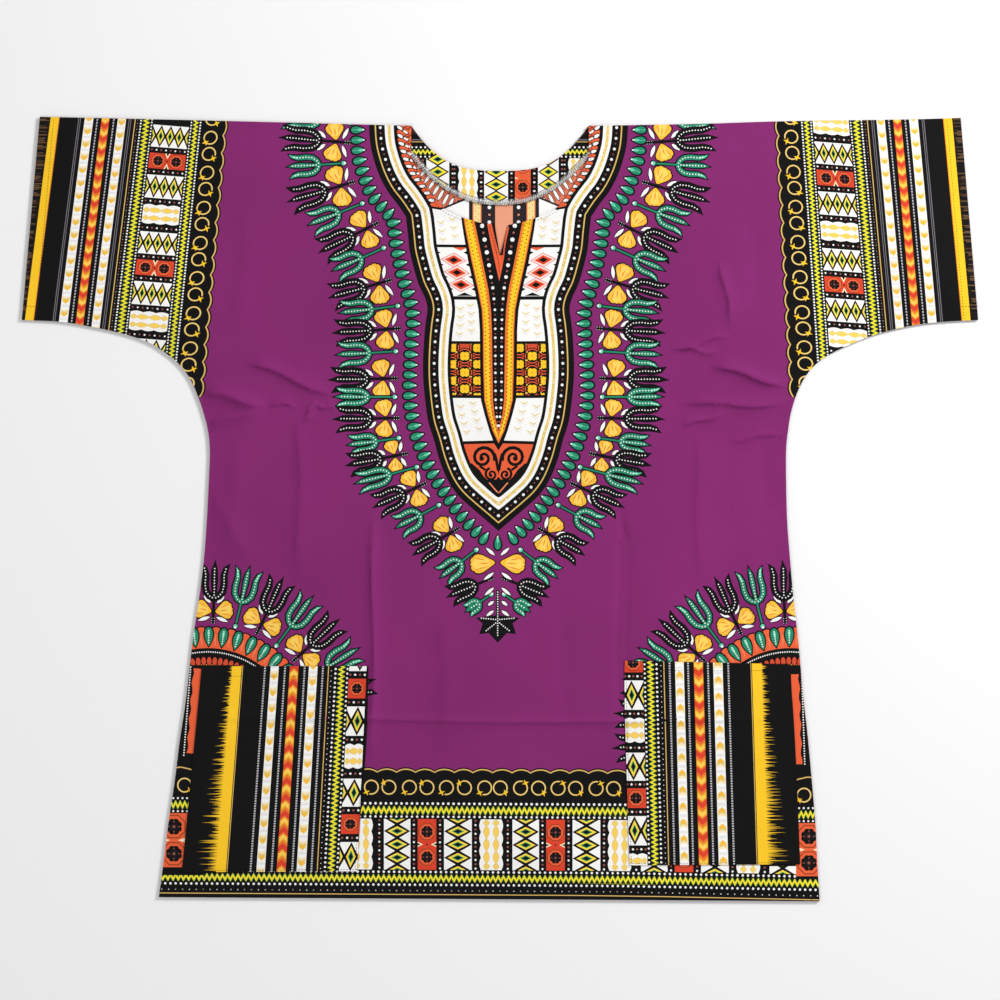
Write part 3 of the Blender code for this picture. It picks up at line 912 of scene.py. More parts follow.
def side_strip(shapes, side):
    """The black ground between the pocket and the side seam, with its red strip and its flowers."""
    pen = Pen(shapes)
    (x0, up0), (x1, up1), lowest, floor_up, shift, inward = SIDE_STRIPS[side]
    near, step, edge = side * 262, side * 297, side * 345
    pen.fill("black", [(near, 236), (edge, 236), (edge, lowest), (step, lowest), (step, 35),
                       (near, 35)])
    strip = pen.at((x0, up0), (x1, up1), side)
    long = math.hypot(x1 - x0, up1 - up0)
    rim = [(1 + n * 5, -0.6 - 0.9 * math.sin(n * 1.7)) for n in range(int((long + 2) / 5))]
    strip.fill("coral", [(u, v - 2) for u, v in rim] + [(rim[-1][0], -9.4), (rim[0][0], -10.4)])
    for n in range(int(long / 2.6)):
        strip.disc("white", n * 2.6, 0.4, 0.85, 5)
    pen.stroke("gold", [(edge, up1 - 12), (x1 + side * 3, up1 - 9), (x1 - side * 6, up1 - 11),
                        (x1 - side * 14, up1 - 14)], 1.2)
    ring(pen, x1 - side * 0.6, up1 - 27, 6.9, -side)
    rows = Pen(shapes, lambda u, v: (v, u))
    top = up1 - 40
    rows.dots("white", top, edge, near, 4.6, 1.1, 6)
    zigzag(rows, top - 11, top - 2, edge, near, 4.6)
    rows.dots("white", top - 13, edge, near, 4.6, 1.1, 6)
    flower_x, size = x1 + shift, (top - 15 - floor_up) / 4
    pen.box("coral", flower_x - inward, flower_x + 22, floor_up, top - 15)
    for n in (1, 3):
        blossom(pen, flower_x, floor_up + n * size, size * 0.94)
    waist = floor_up + size * 2
    for way in (-1, 1):
        outer = flower_x + way * 13
        pen.fill("cream", [(outer, waist - 3), (flower_x + way * 4, waist), (outer, waist + 3)])


# ---------------------------------------------------------------- pockets
# x of the yellow stripe's outer edge and of the pocket's inner edge, each at the top and at the bottom
POCKETS = {-1: (-267, -283.3, -132.5, -142), 1: (261, 267.5, 124.6, 129)}
POCKET_TOP, POCKET_DEEP, POCKET_WIDE = 238, 204, 134.5


def pocket(shapes, side):
    """A pocket's print: u runs inward from the yellow stripe's outer edge, v is the height over the hem."""
    left = side < 0
    outer_top, outer_low, inner_top, inner_low = POCKETS[side]

    def place(u, v):
        t = (POCKET_TOP - v) / POCKET_DEEP
        a = outer_top + (outer_low - outer_top) * t
        b = inner_top + (inner_low - inner_top) * t
        return (a + (b - a) * u / POCKET_WIDE, v)

    pen = Pen(shapes, place)
    start, end = 246, 20
    pen.box("black", -80, 140, end, start, 6)
    random.seed(21 + side)
    for n in range(148):
        v = start - 2 - n * 1.45
        reach = (4 + 17 * (start - v) / 205) * random.choice((0.25, 0.4, 0.55, 0.8, 1))
        lean = random.uniform(-0.8, 0.8)
        pen.fill("brown", [(0.6, v + 0.7), (-reach - 2, v + lean), (0.6, v)])
        pen.fill("yellow", [(0.6, v + 0.75), (-reach * 0.55, v + lean * 0.7 + 0.25), (-reach, v + lean),
                            (-reach * 0.55, v + lean * 0.7 - 0.25), (0.6, v - 0.75)])
    pen.box("yellow", 0, 9.2, end, start, 6)
    line(pen, "gold", 10.3, start, end, 0.7)
    line(pen, "silver", 32.6, start, end, 1.7, 2.5)
    if left:
        drops(pen, 38.2, 46.2, start, end, 16.4)
        arrows(pen, 57.4, 66, end, start, 16.4)
        drops(pen, 76.4, 85, start - 6, end, 16.4)
    else:
        drops(pen, 38.2, 47.4, end, start, 16.4)
        arrows(pen, 57.4, 66.6, start, end, 16.4)
        drops(pen, 76.4, 85, end + 5, start, 16.4)
    line(pen, "silver", 52.6, start, end, 1.7, 2.5)
    line(pen, "silver", 72.2, start, end, 1.7, 2.5)
    line(pen, "silver", 90.4, start, end, 1.7, 2.5)
    line(pen, "gold", 96, start, end, 0.9)
    pen.dots("shade", 99, start, end, 5.2, 0.6, 4)
    pen.dots("white", 103.2, start, end, 4.6, 1.2, 6)
    zigzag(pen, 105.4, 113, end, start, 4.6)
    pen.dots("white", 115, start, end, 4.6, 1.1, 6)
    cells(pen, 116.6, 134 if left else 136, 258.1 if left else 284, 10, 1.272)


# ---------------------------------------------------------------- the facing
# The patches across the back neck: (drawn by, start, end)
FACING_CELLS = ((flowers, -90, -80.8), (diamonds, -73.6, -50.8), (lozenges, -42, -22),
                (diamonds, -15.8, 8), (flowers, 15, 30.6), (diamonds, 38, 58.6), (lozenges, 68, 85.4))


def facing(shapes):
    """The facing's print, the same border as on the sleeves, laid across."""
    pen = Pen(shapes)
    pen.box("black", -130, 130, 660, 790)
    rows = Pen(shapes, lambda u, v: (v, u))
    line(rows, "grey", 761, -120, 120, 0.9)
    line(rows, "gold", 759, -120, 120, 0.7)
    rows.dots("white", 753.6, -110, 110, 4.4, 1.05, 6)
    zigzag(rows, 746, 751.8, -110, 110, 4.4)
    rows.dots("white", 744.2, -110, 110, 4.4, 1, 6)
    across = Pen(shapes, lambda u, v: (v, 742.6 - u))
    low = 70
    for draw, v0, v1 in FACING_CELLS:
        if draw is diamonds:
            centre, reach = (v0 + v1) / 2, (v1 - v0) / 2
            across.box("white", 0, low, v0, v1)
            for n in range(6):
                at = 1 + n * 12.6
                for ink, share in (("black", 1.08), ("petal_light", 0.8), ("lemon", 0.72), ("green", 0.44),
                                   ("black", 0.3)):
                    half, long = 6.3 * share, reach * min(share, 1)
                    across.fill(ink, [(at - half, centre), (at, centre - long), (at + half, centre),
                                      (at, centre + long)])
        elif draw is flowers:
            across.box("coral", 0, low, v0, v1)
            for u in (8, 29, 50):
                blossom(across, u, (v0 + v1) / 2, 7.8)
                across.fill("cream", [(u + 10.5, v0), (u + 12.5, v0 + 4), (u + 12.5, v0)])
        else:
            lozenges(across, 0, low, v0, v1)
        for v in (v0 - 3.4, v1 + 3.4):
            for n in range(int(low / 4.4)):
                across.disc("white" if n % 2 else "dim", 2 + n * 4.4, v, 1, 6)


# ---------------------------------------------------------------- the wrong side of the back, in the neck
def inside_back(shapes):
    """The yoke's print seen through the cloth, below the facing."""
    pen = Pen(shapes)
    pen.box("pale_coral", -96, 96, 668, 752)
    pen.box("pale_black", -96, 96, 752, 790)
    pen.box("gold", -96, 96, 758, 759)
    for side in (-1, 1):
        half = Pen(shapes, lambda u, v: (4 + side * u, v))
        for n in range(12):
            r, rise = 38 + n * 6.2 - 0.16 * n * n, n * 2.6 + 0.28 * n * n
            r -= 11 if side > 0 else 0
            root = half.at((r + 6, 686 + rise), (r + 1 - n * 0.6, 699 + rise))
            root.blade("pale_black", -1, 13.6, 4.6, ROUND)
            root.blade("white", 0, 12, 3, ROUND)
            root.stroke("rust", [(0, 3.4), (12, 3)], 0.8)
        half.fill("white", [(34, 704), (34, 668), (59, 668), (59, 693.6)])
        half.stroke("pale_black", [(32, 704.6), (60, 693)], 2)
        half.box("pale_black", 31.4, 35, 668, 706)
        half.box("coral_light", 22.6, 31.4, 650, 706)
        half.box("pale_yellow", 23.6, 30.4, 650, 706)
        for n in range(9):
            half.disc("rust", 25.4 if n % 2 else 28.4, 702 - n * 3, 0.55, 4)
        half.box("pale_black", 8.8, 22.6, 640, 706)
        for n in range(6):
            ink, size = ("salmon", 1.1) if n % 2 else ("white", 1.9)
            half.disc(ink, 14.6, 693.6 - n * 7.4, size, 8)
    pen.fill("salmon", [(-4.8, 706), (-4.8, 640), (12.8, 640), (12.8, 706)])


# ---------------------------------------------------------------- form of the cloth
THICK = 0.7  # of the cloth as seen
WALL = 1  # of the cloth in the CAD
GAP = 0.3  # between two layers in the CAD
HOLLOW = 0.5  # how much further a creased piece's unseen face lies below the other, away from its edge
LOFT, LOFT_REACH = 1.7, 45  # how high the front lies over the back, from this far in
FACING_EDGE, FACING_LOW, FACING_RISE, RISE_REACH = 93.5, 696, 1.3, 22
POCKET_LIFT = 0.25  # between a pocket and the front

# Creases of the front: ridges, or troughs where the height is negative, along straight lines, each with
# its own reach on the left and on the right of the way that it runs
#            x0     up0     x1     up1   height  left  right
CREASES = ((-126, 398, -127.5, 132, 1.9, 12, 5), (-127, 400, -128, 132, 1.2, 5, 34),
           (122, 402, 122.5, 134, -1.7, 5, 8), (123, 398, 123.5, 134, -0.9, 40, 6),
           (-330, 182, 330, 179.5, 1, 7, 4), (-256, 541, -162, 503, 2.1, 12, 4.2),
           (-300, 511, -230, 493.5, 2.7, 12, 7.5), (-232, 497, -200, 496, 1.1, 6, 3),
           (-184, 494.5, -162, 492, 0.9, 6, 3), (-184, 502, -198, 478, 1.1, 8, 3),
           (-300, 474, -236, 494, 1.7, 3.2, 9), (209, 536.5, 290, 513, 2.3, 12, 4.5),
           (178, 497.5, 290, 495, 1.7, 10, 4), (178, 473, 230, 489.5, 1.3, 8, 3.5),
           (178, 552.5, 221, 547.5, 1, 6, 3), (168, 548.5, 232, 566.5, 1.1, 7, 3),
           (226, 460, 290, 468, 0.9, 9, 4), (219.5, 643, 232.5, 570, 1.3, 10, 4),
           (198, 475, 200, 300, 1, 22, 9), (-200, 493, -201, 305, 1.2, 16, 7),
           (-56, 300, -52, 138, 0.9, 20, 14), (273, 474, 277, 378, -1.1, 8, 22),
           (60, 320, 66, 150, -0.7, 22, 14), (-250, 700, -262, 560, 0.8, 22, 16),
           (252, 690, 262, 580, -0.8, 18, 22), (-300, 420, -240, 330, 0.8, 16, 12),
           (250, 350, 262, 240, 0.9, 18, 9), (-262, 470, -268, 330, 0.9, 12, 18))
WOBBLE, WOBBLES = 1.6, 9.0  # how far a crease strays from straight, and how often
STEEPNESS = 1.6  # what every crease's height is multiplied by

# Long soft waves of the whole cloth: (length of the wave, direction in degrees, height, phase)
WAVES = ((173.0, 12.0, 0.22, 0.4), (121.0, 103.0, 0.16, 1.9), (67.0, 58.0, 0.09, 0.7),
         (41.0, 155.0, 0.05, 2.6))


def plan_edge(node):
    """The edge of a CAD cloth wall seen from above, counterclockwise, in garment millimetres."""
    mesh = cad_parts[node].data
    beside = {}
    for face in mesh.polygons:
        if abs(face.normal.z) > 0.3:
            continue
        plan = {tuple(round(c / MM, 2) for c in mesh.vertices[v].co[:2]) for v in face.vertices}
        if len(plan) == 2:
            a, b = plan
            beside.setdefault(a, set()).add(b)
            beside.setdefault(b, set()).add(a)
    first = min(beside)
    loop, before = [first], None
    while True:
        after = [p for p in sorted(beside[loop[-1]]) if p != before]
        before = loop[-1]
        if after[0] == first or len(loop) > len(beside):
            break
        loop.append(after[0])
    area = sum(a[0] * b[1] - b[0] * a[1] for a, b in zip(loop, loop[1:] + loop[:1]))
    loop = loop if area > 0 else loop[::-1]
    return [(x, y - HEM_Y) for x, y in loop]


def smooth(share):
    """A share from 0 to 1, eased in and out."""
    share = np.clip(share, 0.0, 1.0)
    return share * share * (3.0 - 2.0 * share)


def distance(x, up, outline):
    """How far each point is from a closed outline."""
    found = np.full(x.shape, 1e9)
    for (x0, up0), (x1, up1) in zip(outline, outline[1:] + outline[:1]):
        dx, dup = x1 - x0, up1 - up0
        t = np.clip(((x - x0) * dx + (up - up0) * dup) / (dx * dx + dup * dup), 0.0, 1.0)
        found = np.minimum(found, np.hypot(x - x0 - t * dx, up - up0 - t * dup))
    return found


def creases(x, up):
    """The height of all creases together at each point."""
    total = np.zeros(x.shape)
    for x0, up0, x1, up1, height, left, right in CREASES:
        dx, dup = x1 - x0, up1 - up0
        size = math.hypot(dx, dup)
        t = ((x - x0) * dx + (up - up0) * dup) / (size * size)
        aside = (dx * (up - up0) - dup * (x - x0)) / size
        aside = aside + WOBBLE * np.sin(t * WOBBLES + x0)
        reach = np.where(aside > 0, left, right)
        ends = smooth(t / 0.22) * smooth((1.0 - t) / 0.3)
        total = total + STEEPNESS * height * ends * np.exp(0.5 - np.sqrt((aside / reach * 2.0) ** 2 + 0.25))
    return total


def crease_points(shares, spacing):
    """Places along every crease, in rows at some shares of its reach on each side."""
    found = []
    for x0, up0, x1, up1, _, left, right in CREASES:
        size = math.hypot(x1 - x0, up1 - up0)
        ax, aup = -(up1 - up0) / size, (x1 - x0) / size
        count = max(2, round(size / spacing))
        for n in range(count + 1):
            t = n / count
            for share in shares:
                aside = share * (left if share > 0 else right) - WOBBLE * math.sin(t * WOBBLES + x0)
                found.append((x0 + (x1 - x0) * t + ax * aside, up0 + (up1 - up0) * t + aup * aside))
    return found


def waves(x, up):
    """The height of the long waves at each point."""
    total = np.zeros(x.shape)
    for long, degrees, height, phase in WAVES:
        along_x, along_up = math.cos(math.radians(degrees)), math.sin(math.radians(degrees))
        total = total + height * np.sin((x * along_x + up * along_up) / long * math.tau + phase)
    return total


def front_height(outline):
    """The height of the front's upper face over the floor, as a function of arrays x and up."""

    def height(x, up):
        away = distance(x, up, outline)
        past = np.maximum(np.abs(x) - FACING_EDGE, 0.0)
        below = np.maximum(FACING_LOW - up, 0.0)
        over_facing = 1.0 - smooth(np.hypot(past, below) / RISE_REACH)
        lift = np.maximum(LOFT * smooth(away / LOFT_REACH), FACING_RISE * over_facing)
        form = creases(x, up) * smooth(away / 9.0) + waves(x, up) * smooth(away / 30.0)
        return WALL + GAP + THICK + np.maximum(lift + form, 0.0)

    return height


def normals(height, x, up):
    """The upward normal of a height function at each point."""
    step = 0.4
    slope_x = (height(x + step, up) - height(x - step, up)) / (2 * step)
    slope_up = (height(x, up + step) - height(x, up - step)) / (2 * step)
    found = np.stack([-slope_x, -slope_up, np.ones(x.shape)], axis=1)
    return found / np.linalg.norm(found, axis=1)[:, None]


# Extra corners along the creases: their shares of the reach on each side, and their spacing
FINE_CREASES = ((-1.3, -0.7, -0.3, 0.0, 0.3, 0.7, 1.3), 6.0)
COARSE_CREASES = ((-0.8, 0.0, 0.8), 12.0)


def cut_cloth(outline, shapes, pitch, creased):
    """Flat cloth cut along its outline and every printed shape: (points, triangles, ink of each)."""
    points = [Vector(p) for p in outline]
    faces = [list(range(len(outline)))]
    for _, polygon in shapes:
        faces.append(list(range(len(points), len(points) + len(polygon))))
        points += [Vector(p) for p in polygon]
    xs, ups = [p[0] for p in outline], [p[1] for p in outline]
    for row in range(int((max(ups) - min(ups)) / pitch)):
        for column in range(int((max(xs) - min(xs)) / pitch)):
            stagger = 0.5 * (row % 2) + 0.31
            points.append(Vector((min(xs) + (column + stagger) * pitch, min(ups) + (row + 0.43) * pitch)))
    if creased:
        points += [Vector(p) for p in crease_points(*creased)
                   if min(xs) < p[0] < max(xs) and min(ups) < p[1] < max(ups)]
    made, _, triangles, _, _, sources = delaunay_2d_cdt(points, [], faces, 1, 1e-4, True)
    kept = [(tri, max(source)) for tri, source in zip(triangles, sources) if 0 in source]
    used = sorted({v for tri, _ in kept for v in tri})
    place = {v: n for n, v in enumerate(used)}
    inks = [None if top == 0 else shapes[top - 1][0] for _, top in kept]
    return np.array([made[v][:] for v in used]), [[place[v] for v in tri] for tri, _ in kept], inks


def edge_loop(triangles):
    """The corners round the outside of a set of triangles, counterclockwise."""
    sides = {(a, b) for tri in triangles for a, b in zip(tri, tri[1:] + tri[:1])}
    after = {a: b for a, b in sides if (b, a) not in sides}
    loop = [min(after)]
    while after[loop[-1]] != loop[0]:
        loop.append(after[loop[-1]])
    return loop


def printed_mesh(name, points, faces, inks, material, tilts=None):
    """An object of these faces, each in its own ink."""
    mesh = bpy.data.meshes.new(name)
    mesh.from_pydata(points, [], faces)
    mesh.shade_smooth()
    if tilts is not None:
        mesh.normals_split_custom_set_from_vertices(tilts)
    layer = mesh.color_attributes.new("print", "FLOAT_COLOR", "CORNER")
    table = {ink: linear(rgb) for ink, rgb in INKS.items()}
    colours = [table[ink] for ink, face in zip(inks, faces) for _ in face]
    layer.data.foreach_set("color", np.array(colours, np.float32).ravel())
    mesh.materials.append(material)
    made = bpy.data.objects.new(name, mesh)
    bpy.context.scene.collection.objects.link(made)
    return made


def make_cloth(name, outline, height, prints, grounds, pitches, material, rich_below=False, creased=False):
    """A thin closed shell of cloth: its upper and lower faces, each with its print, and the edge.

    Prints, grounds and pitches are pairs: of the upper and the lower face, and for pitches of the face
    whose print is richer and the other. `rich_below` says that the richer one is the lower face.
    """
    upper, lower = prints
    upper_ground, lower_ground = grounds
    first, second = (lower, upper) if rich_below else (upper, lower)
    fine = cut_cloth(outline, first, pitches[0], creased and FINE_CREASES)
    loop = edge_loop(fine[1])
    rim = [tuple(fine[0][v]) for v in loop]
    plain = cut_cloth(rim, second, pitches[1], creased and COARSE_CREASES)
    above, below = (plain, fine) if rich_below else (fine, plain)
    points, tilts, offset = [], [], len(above[0])
    for (flat, _, _), drop, sign in ((above, 0.0, 1.0), (below, THICK, -1.0)):
        x, up = flat[:, 0], flat[:, 1]
        z = height(x, up) - drop
        if creased and drop:
            z = z - HOLLOW * smooth(distance(x, up, outline) / 12.0)
        points.append(np.stack([x, up + HEM_Y, z], axis=1) * MM)
        tilts.append(sign * normals(height, x, up))
    faces = list(above[1]) + [[v + offset for v in reversed(tri)] for tri in below[1]]
    inks = [ink or upper_ground for ink in above[2]] + [ink or lower_ground for ink in below[2]]
    # the edge: each corner of one face's outside joined to the same corner of the other's
    lookup = {(round(float(x), 4), round(float(up), 4)): n for n, (x, up) in enumerate(plain[0])}
    twin = {v: lookup[round(float(fine[0][v][0]), 4), round(float(fine[0][v][1]), 4)] for v in loop}
    for a, b in zip(loop, loop[1:] + loop[:1]):
        if rich_below:
            face = [a + offset, b + offset, twin[b], twin[a]]
        else:
            face = [b, a, twin[a] + offset, twin[b] + offset]
        # two corners that all but meet share one twin, and a face can't hold a corner twice
        faces.append(face[:3] if twin[a] == twin[b] else face)
        inks.append(upper_ground)
    points, tilts = np.concatenate(points).tolist(), np.concatenate(tilts).tolist()
    return printed_mesh(name, points, faces, inks, material, tilts)


def part_of(outline, wanted):
    """The stretch of a closed outline whose points pass a test, in order."""
    count = len(outline)
    first = next(n for n in range(count) if wanted(outline[n]) and not wanted(outline[n - 1]))
    found = []
    for n in range(count):
        point = outline[(first + n) % count]
        if not wanted(point):
            break
        found.append(point)
    return found


# ---------------------------------------------------------------- threads
def strands(name, rows, material):
    """Short threads that lie on the cloth, as one mesh: (from, to, width, middle's rise, ink) for each."""
    points, faces, inks = [], [], []
    for (x0, up0, z0), (x1, up1, z1), width, rise, ink in rows:
        size = math.hypot(x1 - x0, up1 - up0)
        ax, aup = -(up1 - up0) / size * width / 2, (x1 - x0) / size * width / 2
        x, up, z = (x0 + x1) / 2, (up0 + up1) / 2, (z0 + z1) / 2
        first = len(points)
        points += [(x0, up0 + HEM_Y, z0), (x1, up1 + HEM_Y, z1),
                   (x + ax, up + aup + HEM_Y, z + rise * 0.3), (x, up + HEM_Y, z + rise),
                   (x - ax, up - aup + HEM_Y, z + rise * 0.3), (x, up + HEM_Y, z - 0.1)]
        for a, b in ((2, 3), (3, 4), (4, 5), (5, 2)):
            faces += [(first, first + a, first + b), (first + 1, first + b, first + a)]
            inks += [ink, ink]
    return printed_mesh(name, [tuple(c * MM for c in p) for p in points], faces, inks, material)


STITCH, STITCH_PITCH, STITCH_WIDE, STITCH_RISE = 2.3, 3.0, 0.55, 0.3


def running_stitch(path, height, ink, aside=0.0):
    """Rows for strands(): one stitch after another along a path, moved aside to its left."""
    rows = []
    for x, up, dx, dup in along(path, STITCH_PITCH, 1.0):
        x, up = x - dup * aside, up + dx * aside
        ends = ((x, up), (x + dx * STITCH, up + dup * STITCH))
        zs = height(np.array([p[0] for p in ends]), np.array([p[1] for p in ends]))
        rows.append(((*ends[0], zs[0] + 0.02), (*ends[1], zs[1] + 0.02), STITCH_WIDE, STITCH_RISE, ink))
    return rows


def serging(path, z):
    """Overlock threads wrapped over a raw edge: a close row of slanted loops and a chain on each side."""
    random.seed(31)
    rows = []
    inks = ("thread", "thread", "thread_grey", "thread", "silver", "thread", "grey", "thread")
    for n, (x, up, dx, dup) in enumerate(along(path, 0.8)):
        outer = (x + dup * 1.2, up - dx * 1.2)
        deep = random.uniform(4.4, 5.8)
        inner = (x - dup * deep + dx * 1.6, up + dx * deep + dup * 1.6)
        rows.append(((*outer, z - 0.1), (*inner, z + 0.05), 0.75, 0.5, inks[(n * 5 + n // 3) % len(inks)]))
    for depth, ink in ((0.2, "thread"), (4.9, "thread_grey")):
        for n, (x, up, dx, dup) in enumerate(along(path, 1.5)):
            side = depth + (0.5 if n % 2 else -0.5)
            start = (x - dup * side, up + dx * side)
            end = (x - dup * (2 * depth - side) + dx * 1.7, up + dx * (2 * depth - side) + dup * 1.7)
            rows.append(((*start, z + 0.35), (*end, z + 0.35), 0.6, 0.35, ink if n % 5 else "soot"))
    return rows


# ---------------------------------------------------------------- materials
def new_material(name):
    made = bpy.data.materials.new(name)
    made.use_nodes = True
    return made, made.node_tree, made.node_tree.nodes["Principled BSDF"]


# Painted uneven shade (coarse noise), uneven ink and threads (fine): (scale of the noise, detail, darkest,
# brightest)
SHADE_AND_INK_TONES = ((7.0, 2.0, 0.84, 1.14), (700.0, 3.0, 0.92, 1.08))


def cotton(name, roughness, weave, sheen):
    """Printed plain-weave cotton: the printed colour, slightly uneven, over a fine square weave."""
    made, tree, shader = new_material(name)
    links = tree.links

    def node(kind, operation=None, feeds=(), **values):
        """A new node: `feeds` holds (what feeds it, input), and `values` its inputs' constants."""
        new = tree.nodes.new("ShaderNode" + kind)
        if operation:
            new.operation = operation
        for label, value in values.items():
            new.inputs[label.replace("_", " ")].default_value = value
        for source, target in feeds:
            links.new(source, new.inputs[target])
        return new

    shader.inputs["Roughness"].default_value = roughness
    shader.inputs["Sheen Weight"].default_value = sheen
    shader.inputs["Sheen Roughness"].default_value = 0.45
    shader.inputs["Sheen Tint"].default_value = (1.0, 0.9, 0.95, 1.0)
    shader.inputs["Specular IOR Level"].default_value = 0.14
    where = node("TexCoord").outputs["Object"]
    printed = node("Attribute")
    printed.attribute_name = "print"
    tones = []
    # the print's brightness made uneven: painted uneven shade from the coarse noise, uneven ink from the fine
    # one
    for scale, detail, low, high in SHADE_AND_INK_TONES:
        noise = node("TexNoise", feeds=[(where, "Vector")], Scale=scale, Detail=detail)
        tone = node("MapRange", feeds=[(noise.outputs["Fac"], "Value")], To_Min=low, To_Max=high)
        tones.append(tone.outputs["Result"])
    both = node("Math", "MULTIPLY", [(tones[0], 0), (tones[1], 1)])
    shade = node("VectorMath", "SCALE", [(printed.outputs["Color"], 0), (both.outputs["Value"], "Scale")])
    links.new(shade.outputs["Vector"], shader.inputs["Base Color"])
    # warp and weft
    split = node("SeparateXYZ", feeds=[(where, "Vector")])
    threads = []
    for axis in ("X", "Y"):
        turns = node("Math", "MULTIPLY", [(split.outputs[axis], 0)])
        turns.inputs[1].default_value = math.tau / (weave * MM)
        threads.append(node("Math", "SINE", [(turns.outputs["Value"], 0)]).outputs["Value"])
    cross = node("Math", "MULTIPLY", [(threads[0], 0), (threads[1], 1)])
    fine = node("Bump", feeds=[(cross.outputs["Value"], "Height")], Strength=0.25, Distance=0.00008)
    rumple = node("TexNoise", feeds=[(where, "Vector")], Scale=34.0, Detail=4.0)
    coarse = node("Bump", feeds=[(rumple.outputs["Fac"], "Height"), (fine.outputs["Normal"], "Normal")],
                  Strength=0.35, Distance=0.0012)
    links.new(coarse.outputs["Normal"], shader.inputs["Normal"])
    return made


def plain_material(name, colour, roughness):
    made, _, shader = new_material(name)
    shader.inputs["Base Color"].default_value = linear(colour)
    shader.inputs["Roughness"].default_value = roughness
    return made


def soft_light(name, location, size, power):
    """A round lamp that looks at the middle of the shirt."""
    data = bpy.data.lights.new(name, "AREA")
    data.shape = "DISK"
    data.size = size
    data.energy = power
    made = bpy.data.objects.new(name, data)
    made.location = location
    made.rotation_euler = (-Vector(location)).to_track_quat("-Z", "Y").to_euler()
    bpy.context.scene.collection.objects.link(made)


# ---------------------------------------------------------------- build
SIDES = (-1, 1)
POCKET_NAMES = {-1: "pocket_left", 1: "pocket_right"}
WEAVE = 0.62  # from one thread to the next but one

outlines = {node: plan_edge(node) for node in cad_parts}
fine_outlines = {node: curve(outline, 6.0, True, 26.0) for node, outline in outlines.items()}
over_back = front_height(outlines["front_panel"])


def over_front(x, up):
    """The height of a pocket's upper face."""
    return over_back(x, up) + THICK + POCKET_LIFT


front_print = []
for side in SIDES:
    sleeve(front_print, side)
for side in SIDES:
    corner(front_print, side)
hem(front_print)
for side in SIDES:
    side_strip(front_print, side)
ring_of_tulips(front_print)
yoke(front_print)
back_print = [(ink, [(-x, up) for x, up in reversed(polygon)]) for ink, polygon in front_print]
facing_print, inner_print = [], []
facing(facing_print)
inside_back(inner_print)
pocket_prints = {}
for side in SIDES:
    pocket_prints[side] = []
    pocket(pocket_prints[side], side)

cloth = cotton("printed_cotton_cloth", 0.72, WEAVE, 0.04)
cloth_wrong = cotton("printed_cotton_wrong_side", 0.84, WEAVE, 0.06)
cloth_pocket = cotton("border_cotton_cloth", 0.74, WEAVE, 0.04)
cloth_facing = cotton("facing_cotton_cloth", 0.78, WEAVE, 0.04)

front = make_cloth("front_cloth", fine_outlines["front_panel"], over_back, (front_print, []),
                   ("purple", "purple_wrong"), (10.8, 13.0), cloth, creased=True)
back = make_cloth("back_cloth", fine_outlines["back_panel"], lambda x, up: np.full(x.shape, THICK + 0.05),
                  (inner_print, back_print), ("purple_wrong", "purple"), (14.0, 40.0), cloth_wrong, True)
facing_cloth = make_cloth("back_neck_facing_cloth", fine_outlines["back_neck_facing"],
                          lambda x, up: np.full(x.shape, WALL + GAP + THICK), (facing_print, []),
                          ("black", "purple_wrong"), (8.0, 20.0), cloth_facing)
pockets = {}
for side, name in POCKET_NAMES.items():
    pockets[side] = make_cloth(name + "_cloth", fine_outlines[name], over_front, (pocket_prints[side], []),
                               ("black", "purple_wrong"), (7.0, 7.5), cloth_pocket, creased=True)

pieces = {"front_panel": front, "back_panel": back, "back_neck_facing": facing_cloth,
          "pocket_left": pockets[-1], "pocket_right": pockets[1]}
for node, piece in pieces.items():
    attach(piece, "root")
    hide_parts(node)

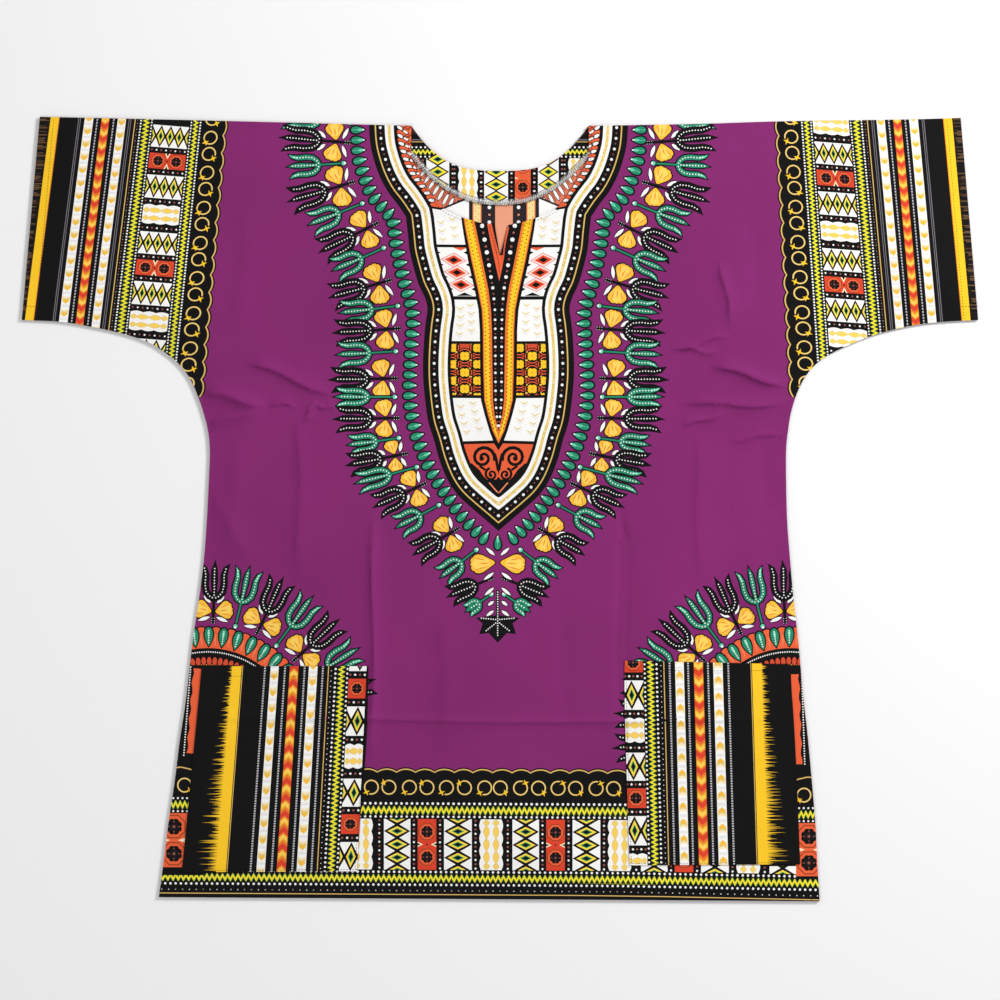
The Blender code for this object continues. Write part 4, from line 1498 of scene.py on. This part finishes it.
thread = cotton("sewing_thread", 0.6, 0.3, 0.0)
front_edge = fine_outlines["front_panel"]
neckline = part_of(front_edge, lambda p: abs(p[0]) < 89.0 and p[1] > 640.0)
hem_edge = part_of(front_edge, lambda p: p[1] < 4.5)
seams = running_stitch(neckline, over_back, "soot", 2.6)
seams += running_stitch(hem_edge, over_back, "soot", 8.0)
for side in SIDES:
    cuff = part_of(front_edge, lambda p: side * p[0] > 459.0 and p[1] > 580.0)
    seams += running_stitch(cuff, over_back, "brown", 14.0)
stitching = strands("seam_stitches", seams, thread)
pocket_rows = []
for name in POCKET_NAMES.values():
    edge = fine_outlines[name]
    top = max(up for _, up in edge) - 7.0
    pocket_rows += running_stitch(part_of(edge, lambda p: p[1] < top), over_front, "soot", 1.8)
    xs = [x for x, up in edge if up > top - 30.0]
    hemmed = [(min(xs) + 4.0, top - 3.0), (max(xs) - 3.0, top - 3.0)]
    pocket_rows += running_stitch(hemmed, over_front, "soot")
pocket_stitching = strands("pocket_stitches", pocket_rows, thread)
facing_edge = fine_outlines["back_neck_facing"]
low_edge = [a for a, b in zip(facing_edge, facing_edge[1:] + facing_edge[:1]) if b[0] - a[0] > 0.01]
serge = strands("facing_serging", serging(sorted(low_edge), WALL + GAP + THICK), thread)
for piece, slot in ((stitching, "printed_cotton"), (pocket_stitching, "border_print"),
                    (serge, "facing_print")):
    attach(piece, "root")

# ---------------------------------------------------------------- floor, light and camera
bpy.ops.mesh.primitive_plane_add(size=12.0, location=(0.0, 0.0, -0.0006))
floor = bpy.context.object
floor.name = "floor"
floor.data.materials.append(plain_material("floor_white", (246, 246, 246), 0.9))

world = bpy.context.scene.world or bpy.data.worlds.new("World")
bpy.context.scene.world = world
world.use_nodes = True
world.node_tree.nodes["Background"].inputs["Color"].default_value = (1.0, 1.0, 1.0, 1.0)
world.node_tree.nodes["Background"].inputs["Strength"].default_value = 0.47
bpy.context.scene.view_settings.view_transform = "Standard"

# name, place in metres, diameter in metres, watts
soft_light("key", (2.0, 1.6, 1.45), 0.7, 72.0)
soft_light("fill", (-1.6, -1.0, 2.8), 2.4, 20.0)

# straight over the shirt, so that one millimetre of it is one pixel of the picture
camera_data = bpy.data.cameras.new("camera")
camera_data.lens = 180.0
camera = bpy.data.objects.new("camera", camera_data)
camera.location = (0.0, 0.009, 5.0)
bpy.context.scene.collection.objects.link(camera)
bpy.context.scene.camera = camera

# ---------------------------------------------------------------- what the sheets are
AREA = {}
for node, outline in outlines.items():
    area = sum(a[0] * b[1] - b[0] * a[1] for a, b in zip(outline, outline[1:] + outline[:1])) / 2
    low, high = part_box(node)
    AREA[node] = (high.x - low.x, high.y - low.y, area * MM * MM)
for node, piece in pieces.items():
    width, length, area = AREA[node]
